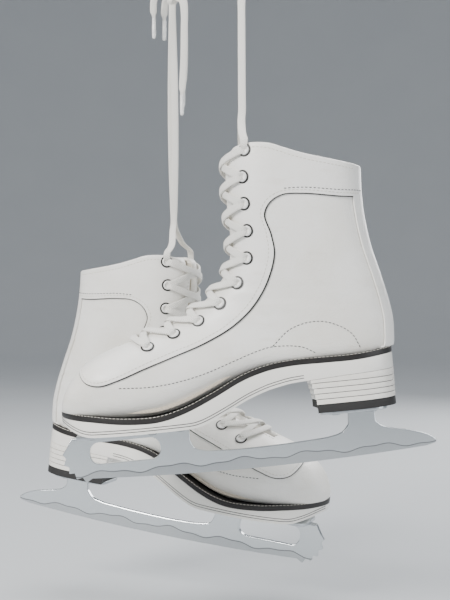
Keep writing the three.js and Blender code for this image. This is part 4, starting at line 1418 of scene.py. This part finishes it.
looseEnds = {
    "long_front": [(0, -2, 1), (4, -6, 1), (9, -9, -2), (11, -11, -10), (11, -12, -30), (10.5, -12, -60),
                   (9, -12, -88)],
    "long_rear": [(0, -1, 0), (4, -2, -1), (8.5, -5, -4), (10.5, -7, -12), (11, -8, -32), (11, -8, -58),
                  (10, -8, -80)],
    "short_outer": [(2.5, -1, 0), (-1, 0, 1.5), (-5, 2, 3), (-11, 4, 5), (-16, 5.5, 0), (-17, 6, -10),
                    (-16.5, 6, -17)],
    "short_back": [(2, -3, -2), (0, 1, 0), (-2, 6, 2), (-5, 12, 4), (-7, 17, 0), (-8, 18, -9),
                   (-8, 18, -16)],
}
aglet = {"length": 18.0, "radius": 1.7, "rings": (3.0, 5.5, 14.0)}


def agletShape():
    # a rolled plastic tip with crimped rings, its mouth up
    r, length = aglet["radius"], aglet["length"]
    profile = [(0, -0.2), (r - 0.35, -0.2), (r, -0.55)]
    for ring in aglet["rings"]:
        profile += [(r, -ring + 0.5), (r - 0.22, -ring), (r, -ring - 0.5)]
    profile += [(r * 0.9, -length + 0.9), (r * 0.55, -length), (0, -length)]
    return spun(profile, 20)


tip = agletShape()
for name, steps in looseEnds.items():
    points = [np.array(step, float) + knotPlace for step in steps]
    faces = [np.array((0, -1.0, 0.15))] * len(points) if name.startswith("long") else \
        [np.array((0.25, -1.0, 0.2))] * len(points)
    _, path = evenBand(points, faces)
    narrow = np.clip((lengthsAlong(path)[-1] - lengthsAlong(path)) / 5.0, 0.5, 1)
    bm = band(path, np.array(faces[0]), narrow)
    made = piece(f"loose_lace_{name}", bm, worldPlace, "crest", "lace", replaces=[f"lace_end_{name}"])
    spot = worldPlace @ Matrix.Translation(Vector(path[-1]) + Vector((0, 0, -0.1)))
    cap = piece(f"aglet_tip_{name}", tip, spot, "crest", "aglet", replaces=[f"aglet_{name}"])
    declare(path)
print("laces made")

# ---- the model's own hidden pieces keep their shapes ----
hidden = {"heel_counter": "board", "toe_puff": "board", "insole": "insole_board", "shank": "plate_steel"}
for side in sides:
    for part, slot in hidden.items():
        node = frame["nodes"][f"{side}_{part}"]
        node.data.materials.clear()
        node.data.materials.append(finishes[slot])

# ---- floor and light ----
studio = {"floor": -0.60, "radius": 4.0, "rise": 3.0}


def studioBowl():
    bm = bmesh.new()
    flat, rise = studio["radius"], studio["rise"]
    profile = [(0, 0), (flat * 0.5, 0), (flat, 0)]
    profile += [(flat + rise * math.sin(a), rise * (1 - math.cos(a)))
                for a in np.linspace(0.1, math.pi / 2, 14)]
    profile.append((flat + rise, rise * 2.5))
    verts = [bm.verts.new((r, 0, studio["floor"] + z)) for r, z in profile]
    edges = [bm.edges.new(pair) for pair in zip(verts, verts[1:])]
    bmesh.ops.spin(bm, geom=verts + edges, cent=(0, 0, 0), axis=(0, 0, 1), angle=math.tau, steps=72,
                   use_merge=True)
    merged(bm, 1e-4)
    bmesh.ops.recalc_face_normals(bm, faces=bm.faces)
    return bm


paper = Shader("paper", Roughness=0.9)
paperTint = paper.noise(paper.coords(), 3, 3)
paper.feed(Base_Color=paper.mix(paperTint, colour("b6b9bc"), colour("bcbfc1")))
floor = piece("floor", studioBowl(), Matrix.Identity(4), None, material=paper.material, smooth=60)


def softbox(name, place, target, size, power, tint=(1, 1, 1)):
    data = bpy.data.lights.new(name, "AREA")
    data.shape, data.size, data.size_y, data.energy, data.color = "RECTANGLE", *size, power, tint
    made = bpy.data.objects.new(name, data)
    made.location = place
    made.rotation_euler = (Vector(target) - Vector(place)).to_track_quat("-Z", "Y").to_euler()
    bpy.context.scene.collection.objects.link(made)


middle = (0.0, 0.0, -0.34)
softbox("keyLight", (-1.3, -1.5, 0.9), middle, (0.9, 0.9), 76, (1, 0.985, 0.96))
softbox("fillLight", (1.6, -1.1, 0.1), middle, (1.4, 1.4), 16, (0.95, 0.97, 1))
softbox("topLight", (0.1, 0.3, 1.5), middle, (1.2, 1.2), 26)
softbox("rimLight", (0.9, 1.5, 0.5), middle, (0.8, 1.2), 24)
world = bpy.data.worlds.new("studio")
world.use_nodes = True
world.node_tree.nodes["Background"].inputs["Color"].default_value = (0.8, 0.83, 0.87, 1)
world.node_tree.nodes["Background"].inputs["Strength"].default_value = 1.0
bpy.context.scene.world = world
bpy.context.view_layer.update()
print("stage set")
